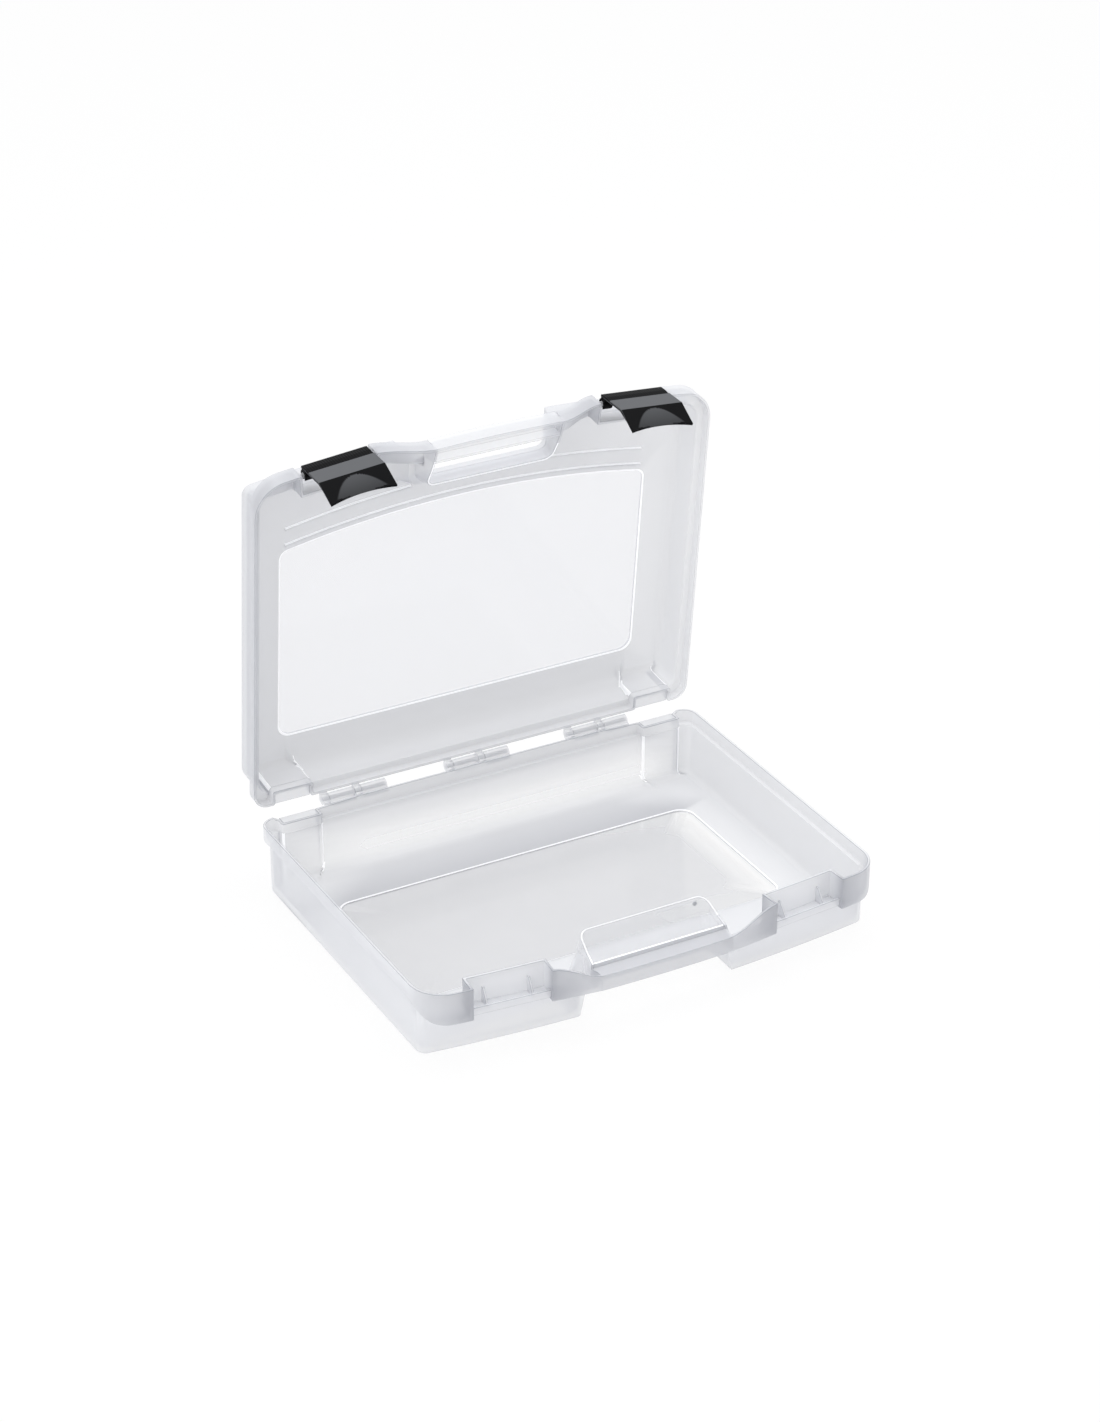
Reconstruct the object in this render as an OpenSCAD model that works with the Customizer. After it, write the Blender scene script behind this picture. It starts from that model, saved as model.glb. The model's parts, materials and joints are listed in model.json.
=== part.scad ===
// Carry case for circular saw blades: a shallow moulded tray and lid in
// translucent plastic, three knuckle hinges at the rear, a carry handle and
// two snap latches at the front.
// Frame: X to the right, Y to the rear, Z up. The origin is the middle of the
// tray's underside. Lid and latches are drawn closed and then turned open.

/* [Case] */
// Width over the rim, side to side
case_w = 370; // [340:1:400]
// Height of the tray, floor to parting plane
base_h = 55; // [50:1:65]
// Height of the lid above the parting plane
lid_h = 35; // [30:1:45]
// Radius of the bowed front, seen from above
front_r = 1320; // [1100:10:2000]
// Wall thickness of the mouldings
wall = 2; // [1.6:0.1:2.4]

/* [Rim] */
// How far the rim stands out from the walls
rim_out = 3.5; // [3:0.1:4.5]
// Height of the tray's rim at the sides
rim_h = 12; // [9:0.5:14]
// Height of the lid's rim at the sides
lid_rim_h = 9; // [7:0.5:12]
// Depth of the front ledge that carries handle and latches
ledge_d = 15; // [14:0.5:17]
// Radius of the rim's rear corners
rear_corner_r = 12; // [9:0.5:15]
// Radius of the rim's front corners
front_corner_r = 26; // [22:1:30]
// Radius of the lower walls' front corners
low_corner_r = 8; // [5:0.5:15]

/* [Handle] */
// Half width of the hand opening at the parting plane
grip_hw = 50; // [46:1:54]
// Slope of the sides of the hand opening, mm out per mm of height
grip_draft = 0.218; // [0.15:0.01:0.25]
// How far the handle lies below the parting plane
handle_dip = 15; // [12:0.5:17]
// Height of the tray's half of the handle
handle_h = 12; // [10:0.5:14]

/* [Latches] */
// Distance of each latch from the middle of the case
latch_x = 120; // [112:1:126]
// Width of a latch
latch_w = 51; // [46:1:53]
// Width of the gap that a latch lies in
latch_gap_w = 58; // [56:1:60]
// Angle that the latches stand off their locked place
latch_rest = 4; // [4:1:20]

/* [Hinges] */
// Angle that the lid stands open
lid_open = 84; // [0:1:105]
// Distance of the outer hinges from the middle
hinge_x = 104; // [98:1:106]
// Radius of the hinge knuckles
knuckle_r = 4; // [3.5:0.1:4.2]
// Radius of the hinge pins
pin_r = 1.5; // [1.2:0.1:1.8]

/* [Clear panels] */
// Half width of the clear panels
panel_hw = 150; // [130:1:152]
// Depth of the clear panel in the floor, rear edge to the sides' front ends
floor_panel_d = 140; // [120:1:142]

/* [Hidden] */
$fn = 96;

rear_y = 140;                            // rear face of the rim
front_y = -144.5;                        // front of the skirt on the centreline
arc_y = front_y + front_r;               // centre of the bowed front
hw = case_w / 2;
lid_top = base_h + lid_h;
lid_in = 5;                              // the lid's walls lie this far inside the rim
skirt_low = 30;                          // lower edge of the tray's front skirt
lid_skirt_h = 15;                        // height of the lid's front skirt
big = 400;                               // larger than the case, for cutting
step_back = -105;                        // the step in the walls drops between these two
step_front = -134;

// rear wall: two shallow corner blocks beside the wide middle stretch
block_in = 139;
block_out = 168;
block_d = 5;
block_low = 2;                           // the blocks' rim lies this much lower
cove_r = 18;                             // rounded foot of the tray's middle rear wall
lid_cove_r = 24;

// hand opening between the tray's front wall and the handle bar
grip_rear = -106.5;                      // rear face of the opening
grip_front = -130;                       // face of the handle bar
grip_knee = base_h - 13;                 // below this the rear face leans back
grip_lean = 10;

ridge_h = 3;                             // the bar's rear wall stands this much proud
bar_h = 16;                              // height of the lid's half of the bar
bar_back_y = grip_front + 0.5;           // rear face of the bar
rim_split = -100;                        // walls in front of this belong to the front pieces
floor_panel_rear = 84;

hinge_y = rear_y + 6;
hinge_z = base_h;
ear_w = 5;
knuckle_w = 20.5;
hinge_gap = 0.6;                         // side play between knuckles
hinge_w = 2 * (ear_w + knuckle_w) + 3 * hinge_gap;
fit_gap = 0.06;                          // radial running clearance

tilt = asin(latch_x / front_r);          // the latches follow the bowed front
latch_face_y = arc_y - sqrt(front_r * front_r - latch_x * latch_x);
pivot_in = 4;                            // latch axis behind the skirt's face
pivot_z = base_h + 7;
bar_r = 2;
catch_z = 32;                            // underside of the catch shelf
catch_in = 3;                            // catch shelf's edge behind the skirt's face
lip_h = 4;                               // upright edge of the shelf
rib_h = 12;                              // ribs on the shelf
rib_w = 1.6;
rib_x = 17;

plastic = [0.86, 0.88, 0.91, 0.6];
clear_plastic = [0.93, 0.95, 0.97, 0.35];
black_plastic = [0.06, 0.06, 0.065];

// ---- plan shapes ----

// Plan outline: straight rear and sides, front bowed to radius ar, corners rr and fc
module plan(w, ry, ar, rr, fc) {
    cx = w - fc;
    cy = arc_y - sqrt((ar - fc) * (ar - fc) - cx * cx);
    tx = cx * ar / (ar - fc);
    ty = arc_y + (cy - arc_y) * ar / (ar - fc);
    intersection() {
        translate([0, arc_y]) circle(r = ar, $fn = 720);
        union() {
            translate([-w, cy]) square([2 * w, ry - rr - cy]);
            translate([rr - w, cy]) square([2 * (w - rr), ry - cy]);
            polygon([[-cx, cy], [-tx, ty], [0, front_y - 30], [tx, ty], [cx, cy]]);
            for (s = [-1, 1]) {
                translate([s * (w - rr), ry - rr]) circle(r = rr);
                translate([s * cx, cy]) circle(r = fc);
            }
        }
    }
}

module rim_plan(i = 0) {
    plan(hw - i, rear_y - i, front_r - i, rear_corner_r - i, front_corner_r - i);
}

// Walls stand inside the rim at the sides and rear, and behind the ledge in front
module wall_plan(side_in, t = 0) {
    plan(hw - side_in - t, rear_y - side_in - t, front_r - ledge_d - t,
        rear_corner_r - side_in - t + 3, low_corner_r - t);
}

module block_plan(side_in, t = 0) {
    for (s = [-1, 1])
        translate([s * (block_in + block_out) / 2 - (block_out - block_in) / 2 - t,
            rear_y - side_in - block_d - t]) square([block_out - block_in + 2 * t, big]);
}

// Outlines with the corner blocks cut in, for the walls below and above the step
module low_plan(side_in, t = 0) {
    difference() {
        wall_plan(side_in, t);
        block_plan(side_in, t);
    }
}

module high_plan(side_in, t = 0) {
    difference() {
        rim_plan(t);
        block_plan(side_in, t);
    }
}

// A prism along X from a profile in Y and Z
module along_x(x0, x1) {
    translate([x0, 0, 0]) rotate([90, 0, 90]) linear_extrude(x1 - x0) children();
}

// A prism along Y from a profile in X and Z
module along_y(y0, y1) {
    translate([0, y1, 0]) rotate([90, 0, 0]) linear_extrude(y1 - y0) children();
}

// ---- parting line, handle and latch gap shapes ----

sweep_in = 50;
sweep_out = 92;
sweep_steps = 40;
function ease(t) = t * t * (3 - 2 * t);
function part_z(x) = base_h - handle_dip
    * (1 - ease(min(1, max(0, (abs(x) - sweep_in) / (sweep_out - sweep_in)))));
sweep_xs = [for (i = [-sweep_steps:sweep_steps]) i * (sweep_out + 3) / sweep_steps];

// The parting line between the latches, as a band from dz0 to dz1 above it
module sweep_band(dz0, dz1) {
    along_y(-200, -100) polygon(concat([for (x = sweep_xs) [x, part_z(x) + dz0]],
        [for (i = [len(sweep_xs) - 1:-1:0]) [sweep_xs[i], part_z(sweep_xs[i]) + dz1]]));
}

// Hand opening, t larger all round: sides and lower rear face lean outwards
module grip_shape(t = 0) {
    lo = -20;
    reach = grip_draft * (base_h - lo);
    slope = grip_lean / grip_knee;
    intersection() {
        along_y(-200, 0) polygon([[-grip_hw - t, base_h + 1], [grip_hw + t, base_h + 1],
            [grip_hw + t, base_h], [grip_hw + reach + t, lo],
            [-grip_hw - reach - t, lo], [-grip_hw - t, base_h]]);
        along_x(-big / 2, big / 2) polygon([[-200, base_h + 1], [grip_rear + t, base_h + 1],
            [grip_rear + t, grip_knee], [grip_rear + t + grip_lean - slope * lo, lo],
            [-200, lo]]);
    }
}

module lid_flip() {
    translate([0, 0, 2 * base_h]) mirror([0, 0, 1]) children();
}

// Space above the collar: its side rims fall from the parting plane to the handle bar
module collar_slope(dz = 0) {
    along_x(-66, 66) polygon([[grip_rear - 0.5, base_h + dz], [grip_rear - 0.5, base_h + 20],
        [-200, base_h + 20], [-200, base_h - handle_dip + ridge_h + dz],
        [grip_front, base_h - handle_dip + ridge_h + dz]]);
}

// Both latches lie along the bowed front
module latch_place(s) {
    translate([s * latch_x, latch_face_y, 0]) rotate([0, 0, s * tilt]) children();
}

module latch_gap(s, w) {
    latch_place(s) translate([-w / 2, -20, -50]) cube([w, 60, 250]);
}

// Stretch of the front wall that belongs to a latch pocket
module pocket_room(s, z0, z1) {
    latch_place(s) translate([-latch_gap_w / 2 - wall, -20, z0])
        cube([latch_gap_w + 2 * wall, ledge_d + 28, z1 - z0]);
}

module outboard(s) {
    translate([s > 0 ? latch_x : -big - latch_x, -big, -50]) cube([big, 2 * big, 300]);
}

module between_latches() {
    difference() {
        translate([-latch_x, -200, 0]) cube([2 * latch_x, 200, 200]);
        for (s = [-1, 1]) latch_gap(s, latch_gap_w + 2 * wall);
    }
}

module rear_part() {
    translate([-big, rim_split, -50]) cube([2 * big, big, 300]);
}

// ---- the tray ----

// Side view of the step where the walls turn outwards, dz above its underside
module step_below(dz = 0) {
    along_x(-big / 2, big / 2) polygon([[big, -60], [big, base_h - rim_h + dz],
        [step_back, base_h - rim_h + dz], [step_front, skirt_low + dz],
        [-200, skirt_low + dz], [-200, -60]]);
}

module tray_body() {
    difference() {
        union() {
            intersection() {
                linear_extrude(base_h) low_plan(rim_out);
                step_below();
            }
            collar();
        }
        // room inside, with the rounded foot and the hand opening's walls left standing
        difference() {
            translate([0, 0, wall]) linear_extrude(base_h) low_plan(rim_out, wall);
            cove(rear_y - rim_out - wall, wall, cove_r - wall, 2);
            grip_shape(wall);
        }
        grip_shape();
        cove(rear_y - rim_out, 0, cove_r, 0);
        collar_slope();
        translate([0, 0, -1]) linear_extrude(wall + 2) floor_panel_plan();
        for (s = [-1, 1]) pocket_room(s, skirt_low, base_h);
    }
}

// Lower walls of the tray, with the rounded foot along the rear
module base_tray() {
    color(plastic) difference() {
        tray_body();
        translate([-big, -big, -1]) cube([2 * big, 2 * big, wall + 1]);
    }
}

// Flat floor around the clear panel
module base_floor() {
    color(plastic) intersection() {
        tray_body();
        translate([-big, -big, -1]) cube([2 * big, 2 * big, wall + 1]);
    }
}

// Walls around the hand opening, up to the parting plane
module collar() {
    intersection() {
        grip_shape(wall);
        linear_extrude(base_h) wall_plan(rim_out);
    }
}

// What a rounded foot of radius r leaves of the corner at y, z
module cove(y, z, r, over) {
    along_x(-block_in, block_in) difference() {
        translate([y - r, z - 3]) square([r + 3 - over, r + 3]);
        translate([y - r, z + r]) circle(r = r);
        if (over > 0) translate([y - r, z - 4]) square([r + 4, 4 - over / 2]);
    }
}

module floor_panel_plan() {
    r = 12;
    front = floor_panel_rear - floor_panel_d;
    translate([-panel_hw, front + r]) square([2 * panel_hw, floor_panel_d - 2 * r]);
    translate([r - panel_hw, front]) square([2 * (panel_hw - r), floor_panel_d]);
    for (s = [-1, 1], y = [front + r, floor_panel_rear - r])
        translate([s * (panel_hw - r), y]) circle(r = r);
}

module base_floor_panel() {
    color(clear_plastic) linear_extrude(wall - 0.4) floor_panel_plan();
}

// Upper walls of the tray: a step outwards, then straight up to the parting plane
module base_upper_walls() {
    difference() {
        union() {
            linear_extrude(base_h) difference() {
                high_plan(rim_out);
                high_plan(rim_out, wall);
            }
            difference() {
                linear_extrude(base_h) difference() {
                    high_plan(rim_out);
                    low_plan(rim_out, wall);
                }
                difference() {
                    translate([-big, -big, -50]) cube([2 * big, 2 * big, 300]);
                    step_below(wall);
                }
            }
            block_tops(rim_out, base_h - block_low - wall);
        }
        step_below();
        block_room(rim_out, base_h - block_low);
    }
}

// Closed tops of the corner blocks, from z upwards
module block_tops(side_in, z) {
    translate([0, 0, z]) linear_extrude(wall) intersection() {
        rim_plan();
        block_plan(side_in, wall);
    }
}

// The corner blocks stop a little short of the parting plane
module block_room(side_in, z) {
    for (s = [-1, 1])
        translate([s * (block_in + block_out) / 2 - (block_out - block_in) / 2,
            rear_y - side_in - block_d - wall - 1, z])
            cube([block_out - block_in, 30, 10]);
}

module base_rim() {
    color(plastic) intersection() {
        base_upper_walls();
        rear_part();
    }
}

module base_front() {
    difference() {
        base_upper_walls();
        rear_part();
        for (s = [-1, 1]) latch_gap(s, latch_gap_w + 2 * wall);
    }
}

module base_left_skirt() {
    color(plastic) intersection() {
        base_front();
        outboard(-1);
    }
}

module base_right_skirt() {
    color(plastic) intersection() {
        base_front();
        outboard(1);
    }
}

// Front wall between the latches, with the handle bar as a channel open below
module base_handle() {
    bar_low = base_h - handle_dip - handle_h;
    color(plastic) difference() {
        union() {
            difference() {
                intersection() {
                    union() {
                        base_front();
                        handle_wall(bar_low);
                    }
                    between_latches();
                }
                grip_shape();
                collar();
            }
            intersection() {
                linear_extrude(base_h) rim_plan();
                difference() {
                    union() {
                        intersection() {
                            sweep_band(-wall, 0);
                            grip_shape(wall);
                        }
                        handle_wall(bar_low);
                        bar_back_wall(bar_low, base_h - handle_dip + ridge_h);
                        difference() {
                            grip_shape(wall);
                            grip_shape();
                            translate([-big, -big, 0]) cube([2 * big, 2 * big, bar_low]);
                        }
                    }
                    grip_floor();
                }
                between_latches();
                translate([0, 0, -1]) linear_extrude(base_h + 2) difference() {
                    rim_plan();
                    wall_plan(rim_out);
                }
            }
        }
        // the parting line, but for the ridge along the hand opening
        difference() {
            sweep_band(0, 60);
            bar_back_wall(0, base_h);
            collar_sides();
        }
        collar_slope();
        handle_low_cut(bar_low);
    }
}

module bar_back_wall(z0, z1) {
    translate([-grip_hw - 6, bar_back_y - wall, z0]) cube([2 * grip_hw + 12, wall, z1 - z0]);
}

module collar_sides() {
    difference() {
        grip_shape(wall);
        grip_shape();
        translate([-big, -200, -1]) cube([2 * big, 200 + bar_back_y - wall, base_h + 2]);
    }
}

// Clears the hand opening behind the bar
module grip_floor() {
    intersection() {
        grip_shape();
        translate([-big, bar_back_y, -1]) cube([2 * big, 100, base_h + 2]);
    }
}

module handle_wall(z0) {
    translate([0, 0, z0]) linear_extrude(base_h - z0) difference() {
        rim_plan();
        rim_plan(wall);
    }
}

// The handle's lower edge is a little higher at its ends
module handle_low_cut(bar_low) {
    along_y(-200, -100) polygon([[-latch_x, 0], [-latch_x, skirt_low], [-sweep_out, skirt_low],
        [-sweep_in, bar_low], [sweep_in, bar_low], [sweep_out, skirt_low],
        [latch_x, skirt_low], [latch_x, 0]]);
}

// Side walls and back wall of a latch pocket, seen from above
module pocket_plan(s, side_in) {
    difference() {
        union() {
            for (x = [-latch_gap_w / 2 - wall, latch_gap_w / 2])
                latch_place(s) translate([x, -10]) square([wall, 60]);
            intersection() {
                wall_plan(side_in);
                latch_place(s) translate([-latch_gap_w / 2 - wall, -20])
                    square([latch_gap_w + 2 * wall, 80]);
            }
        }
        wall_plan(side_in, wall);
    }
}

// Pocket for a latch: side and back walls, shelf with an upright edge, two ribs
module catch_pocket(s) {
    rib_y = catch_in + wall + 1;
    shelf_w = latch_gap_w + wall;
    color(plastic) intersection() {
        translate([0, 0, skirt_low]) linear_extrude(base_h - skirt_low) rim_plan();
        union() {
            linear_extrude(base_h + 2) pocket_plan(s, rim_out);
            difference() {
                latch_place(s) {
                    translate([-shelf_w / 2, catch_in, catch_z]) cube([shelf_w, 30, wall]);
                    translate([-shelf_w / 2, catch_in, catch_z])
                        cube([shelf_w, wall, wall + lip_h]);
                    for (x = [-rib_x, rib_x]) along_x(x - rib_w / 2, x + rib_w / 2) polygon([
                        [rib_y, catch_z + wall / 2], [30, catch_z + wall / 2],
                        [30, catch_z + wall + rib_h], [ledge_d - 2, catch_z + wall + rib_h]]);
                }
                linear_extrude(base_h + 2) wall_plan(rim_out, wall / 2);
            }
        }
    }
}

module left_catch_pocket() {
    catch_pocket(-1);
}

module right_catch_pocket() {
    catch_pocket(1);
}

// ---- hinges ----

module hinge_tube(x0, w, bore) {
    translate([x0, hinge_y, hinge_z]) rotate([0, 90, 0]) difference() {
        cylinder(r = knuckle_r, h = w);
        translate([0, 0, -1]) cylinder(r = bore, h = w + 2);
    }
}

// arm from the rim to the knuckle, from dz0 to dz1 beside the axis
module hinge_arm(x0, w, dz0, dz1) {
    difference() {
        translate([x0, rear_y, hinge_z + dz0]) cube([w, hinge_y - rear_y, dz1 - dz0]);
        translate([x0 - 1, hinge_y, hinge_z]) rotate([0, 90, 0]) cylinder(r = knuckle_r - 0.5, h = w + 2);
    }
}

module base_knuckles(cx) {
    color(plastic)
        for (i = [0, 1]) {
            x0 = cx - hinge_w / 2 + ear_w + hinge_gap + i * (ear_w + knuckle_w + 2 * hinge_gap);
            hinge_tube(x0, knuckle_w, pin_r + 0.02);
            hinge_arm(x0, knuckle_w, -knuckle_r, -1);
        }
}

module lid_ears(cx) {
    color(plastic) lid_pose()
        for (i = [0, 1]) {
            x0 = cx - hinge_w / 2 + i * (ear_w + knuckle_w + 2 * hinge_gap);
            hinge_tube(x0, ear_w, pin_r + fit_gap);
            hinge_arm(x0, ear_w, 1, knuckle_r);
            stop_lug(x0);
        }
}

// The lug meets the tray's rim when the lid stands open
module stop_lug(x0) {
    reach = hinge_y - rear_y - 0.15;
    translate([x0, hinge_y - 1.2, hinge_z - reach]) cube([ear_w, 2.4, reach - knuckle_r + 0.4]);
}

module hinge_pin(cx) {
    color(plastic) translate([cx - hinge_w / 2, hinge_y, hinge_z]) rotate([0, 90, 0])
        cylinder(r = pin_r, h = hinge_w);
}

module base_left_knuckles() {
    base_knuckles(-hinge_x);
}

module base_middle_knuckles() {
    base_knuckles(0);
}

module base_right_knuckles() {
    base_knuckles(hinge_x);
}

module left_hinge_pin() {
    hinge_pin(-hinge_x);
}

module middle_hinge_pin() {
    hinge_pin(0);
}

module right_hinge_pin() {
    hinge_pin(hinge_x);
}

module lid_left_ears() {
    lid_ears(-hinge_x);
}

module lid_middle_ears() {
    lid_ears(0);
}

module lid_right_ears() {
    lid_ears(hinge_x);
}

// ---- the lid ----

module lid_pose() {
    translate([0, hinge_y, hinge_z]) rotate([-lid_open, 0, 0])
        translate([0, -hinge_y, -hinge_z]) children();
}

window_rear = 104;
window_side_front = -55;
window_r = 760;                          // bow of the window's front edge
window_corner = 10;

// Window outline: square rear corners rounded, front edge bowed
module window_plan() {
    c = window_corner;
    sag = window_r - sqrt(window_r * window_r - panel_hw * panel_hw);
    intersection() {
        translate([0, window_side_front - sag + window_r]) circle(r = window_r, $fn = 360);
        union() {
            translate([-panel_hw, -100]) square([2 * panel_hw, 100 + window_rear - c]);
            translate([c - panel_hw, -100]) square([2 * (panel_hw - c), 100 + window_rear]);
            for (s = [-1, 1]) translate([s * (panel_hw - c), window_rear - c]) circle(r = c);
        }
    }
}

// Side view of the step in the lid's walls, mirrored from the tray's
module lid_step_above(dz = 0) {
    top = base_h + lid_skirt_h;
    along_x(-big / 2, big / 2) polygon([[big, 300], [big, base_h + lid_rim_h - dz],
        [step_back, base_h + lid_rim_h - dz], [step_front, top - dz],
        [-200, top - dz], [-200, 300]]);
}

module lid_body() {
    difference() {
        union() {
            intersection() {
                translate([0, 0, base_h]) linear_extrude(lid_h) low_plan(lid_in);
                lid_step_above();
            }
            intersection() {
                lid_flip() grip_shape(wall);
                translate([0, 0, base_h]) linear_extrude(lid_h) wall_plan(lid_in);
            }
        }
        difference() {
            translate([0, 0, base_h - 1]) linear_extrude(lid_h - wall + 1) low_plan(lid_in, wall);
            lid_flip() cove(rear_y - lid_in - wall, base_h - lid_h + wall, lid_cove_r - wall, 2);
            lid_flip() grip_shape(wall);
        }
        lid_flip() grip_shape();
        lid_flip() cove(rear_y - lid_in, base_h - lid_h, lid_cove_r, 0);
        translate([0, 0, lid_top - wall - 1]) linear_extrude(wall + 2) window_plan();
        for (s = [-1, 1]) pocket_room(s, base_h - 1, base_h + lid_skirt_h);
    }
}

// Lower walls of the lid, as drawn on the shut case
module lid_shell() {
    color(plastic) lid_pose() difference() {
        lid_body();
        translate([-big, -big, lid_top - wall]) cube([2 * big, 2 * big, big]);
    }
}

// Flat top of the lid around the clear window
module lid_panel() {
    color(plastic) lid_pose() intersection() {
        lid_body();
        translate([-big, -big, lid_top - wall]) cube([2 * big, 2 * big, big]);
    }
}

module lid_window() {
    color(clear_plastic) lid_pose() translate([0, 0, lid_top - wall + 0.4])
        linear_extrude(wall - 0.8) window_plan();
}

bead_h = 1.5;
bead_w = 3;
bead_gaps = [7, 20];                     // from the window's front edge

// Two bowed stiffening beads in front of the window, the outer one split by the hand opening
module lid_beads() {
    color(plastic) lid_pose() translate([0, 0, lid_top - wall - bead_h]) linear_extrude(bead_h) {
        for (gap = bead_gaps) difference() {
            intersection() {
                bead_ring(gap);
                translate([-panel_hw + 2, -110]) square([2 * panel_hw - 4, 60]);
            }
            if (gap > bead_gaps[0]) translate([-grip_hw + 4, -150]) square([2 * grip_hw - 8, 100]);
        }
    }
}

module bead_ring(gap) {
    sag = window_r - sqrt(window_r * window_r - panel_hw * panel_hw);
    translate([0, window_side_front - sag + window_r]) difference() {
        circle(r = window_r + gap, $fn = 720);
        circle(r = window_r + gap - bead_w, $fn = 720);
    }
}

// Lower walls of the lid, outside the step
module lid_outer_walls() {
    difference() {
        union() {
            translate([0, 0, base_h]) linear_extrude(lid_h) difference() {
                high_plan(lid_in);
                high_plan(lid_in, wall);
            }
            intersection() {
                translate([0, 0, base_h]) linear_extrude(lid_h) difference() {
                    high_plan(lid_in);
                    low_plan(lid_in, wall);
                }
                lid_step_above(wall);
            }
            block_tops(lid_in, base_h + block_low);
        }
        lid_step_above();
        block_room(lid_in, base_h + block_low - 10);
    }
}

module lid_rim() {
    color(plastic) lid_pose() intersection() {
        lid_outer_walls();
        rear_part();
    }
}

module lid_front() {
    difference() {
        lid_outer_walls();
        rear_part();
        for (s = [-1, 1]) latch_gap(s, latch_gap_w + 2 * wall);
    }
}

module lid_left_skirt() {
    color(plastic) lid_pose() intersection() {
        lid_front();
        outboard(-1);
    }
}

module lid_right_skirt() {
    color(plastic) lid_pose() intersection() {
        lid_front();
        outboard(1);
    }
}

// Lid's half of the front wall and handle: its channel opens onto the tray's half
module lid_handle() {
    low = base_h - handle_dip;
    ridge_gap = 1;
    color(plastic) lid_pose() difference() {
        intersection() {
            between_latches();
            sweep_band(0.3, bar_h);
            difference() {
                translate([0, 0, low]) linear_extrude(lid_h) rim_plan();
                translate([0, 0, low - 1]) linear_extrude(lid_h + 2) wall_plan(lid_in);
            }
            union() {
                translate([0, 0, low]) linear_extrude(lid_h) difference() {
                    rim_plan();
                    rim_plan(wall);
                }
                sweep_band(bar_h - wall, bar_h);
                translate([-grip_hw - wall, bar_back_y - wall, 0])
                    cube([2 * (grip_hw + wall), wall, 200]);
                lid_collar_sides();
            }
        }
        // a step over the ridge of the tray's half
        translate([-grip_hw - 5, bar_back_y - wall - 0.4, 0])
            cube([2 * grip_hw + 10, wall + 20, low + ridge_h + ridge_gap]);
        translate([-grip_hw, bar_back_y, 0]) cube([2 * grip_hw, 40, 200]);
    }
}

module lid_collar_sides() {
    for (m = [-1, 1])
        translate([m * (grip_hw + wall / 2) - wall / 2, front_y, 0]) cube([wall, ledge_d + 3, 200]);
}

// ---- latches ----

// Pocket for a latch in the lid, with the round bar that the latch snaps onto
module latch_seat(s) {
    bar_w = latch_gap_w + wall;
    color(plastic) lid_pose() {
        latch_place(s) translate([-bar_w / 2, pivot_in, pivot_z]) rotate([0, 90, 0])
            cylinder(r = bar_r, h = bar_w);
        intersection() {
            translate([0, 0, base_h]) linear_extrude(lid_skirt_h) rim_plan();
            linear_extrude(200) pocket_plan(s, lid_in);
        }
    }
}

module left_latch_seat() {
    latch_seat(-1);
}

module right_latch_seat() {
    latch_seat(1);
}

hook_r = 4.2;
hook_w = 7;
hook_mouth = 3.2;                        // the hooks are open at the rear, to snap onto the bar
plate_t = 2.2;
plate_y = -4.6;                          // inner face of the plate, from the axis
plate_top = 2.6;
crease_z = -28;
tip_y = 4.5;
tip_z = -45;
tip_bow_r = 120;                         // the lower edge is bowed up in the middle
scoop_r = 14;                            // thumb scoop, a shallow cone
tooth_y = catch_in - pivot_in + 1.4;     // the tooth reaches 1.4 under the shelf

// Side view of the latch: strap, crease and the inward-leaning thumb panel
module latch_profile() {
    polygon([[plate_y, plate_top], [plate_y - plate_t + 0.6, plate_top + 0.4],
        [plate_y - plate_t, plate_top - 1], [plate_y - plate_t, crease_z],
        [tip_y - plate_t - 0.3, tip_z], [tip_y - 0.4, tip_z - 0.2], [tip_y, tip_z + 1],
        [plate_y, crease_z - 0.6]]);
    // tooth that grips under the catch shelf
    polygon([[plate_y - 0.5, crease_z - 2.4], [tooth_y, crease_z - 2.4], [tooth_y, crease_z - 4],
        [tooth_y - 3, crease_z - 4.8]]);
}

module latch(s) {
    half = latch_w / 2;
    color(black_plastic) lid_pose() latch_place(s) translate([0, pivot_in, pivot_z])
        rotate([-latch_rest, 0, 0]) difference() {
            union() {
                along_x(-half, half) latch_profile();
                for (x = [-half, half - hook_w]) {
                    translate([x, 0, 0]) rotate([0, 90, 0]) cylinder(r = hook_r, h = hook_w);
                    translate([x, plate_y, -hook_r]) cube([hook_w, -plate_y, hook_r + 2]);
                }
            }
            translate([-half - 1, 0, 0]) rotate([0, 90, 0])
                cylinder(r = bar_r + fit_gap, h = latch_w + 2);
            translate([-half - 1, 0, -hook_mouth / 2]) cube([latch_w + 2, hook_r + 1, hook_mouth]);
            thumb_scoop();
            // the tooth stands only between the side ribs
            for (m = [-1, 1])
                translate([m * (half - 1) - 5, -1.9, crease_z - 6]) cube([10, 3, 4]);
            translate([0, 20, tip_z - tip_bow_r + 2]) rotate([90, 0, 0])
                cylinder(r = tip_bow_r, h = 40, $fn = 240);
        }
}

// Shallow cone pressed into the thumb panel
module thumb_scoop() {
    translate([0, tip_y - scoop_r + 0.2, tip_z - 5.5]) rotate([-3.7, 0, 0])
        cylinder(r1 = scoop_r, r2 = 4, h = 17.3);
}

module left_latch() {
    latch(-1);
}

module right_latch() {
    latch(1);
}

base_floor();
base_tray();
base_floor_panel();
base_rim();
base_left_skirt();
base_right_skirt();
base_handle();
left_catch_pocket();
right_catch_pocket();
base_left_knuckles();
base_middle_knuckles();
base_right_knuckles();
left_hinge_pin();
middle_hinge_pin();
right_hinge_pin();
lid_panel();
lid_shell();
lid_window();
lid_beads();
lid_rim();
lid_left_skirt();
lid_right_skirt();
lid_handle();
lid_left_ears();
lid_middle_ears();
lid_right_ears();
left_latch_seat();
right_latch_seat();
left_latch();
right_latch();
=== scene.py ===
import math
import json
import bpy
import bmesh
from mathutils import Matrix, Vector


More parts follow.
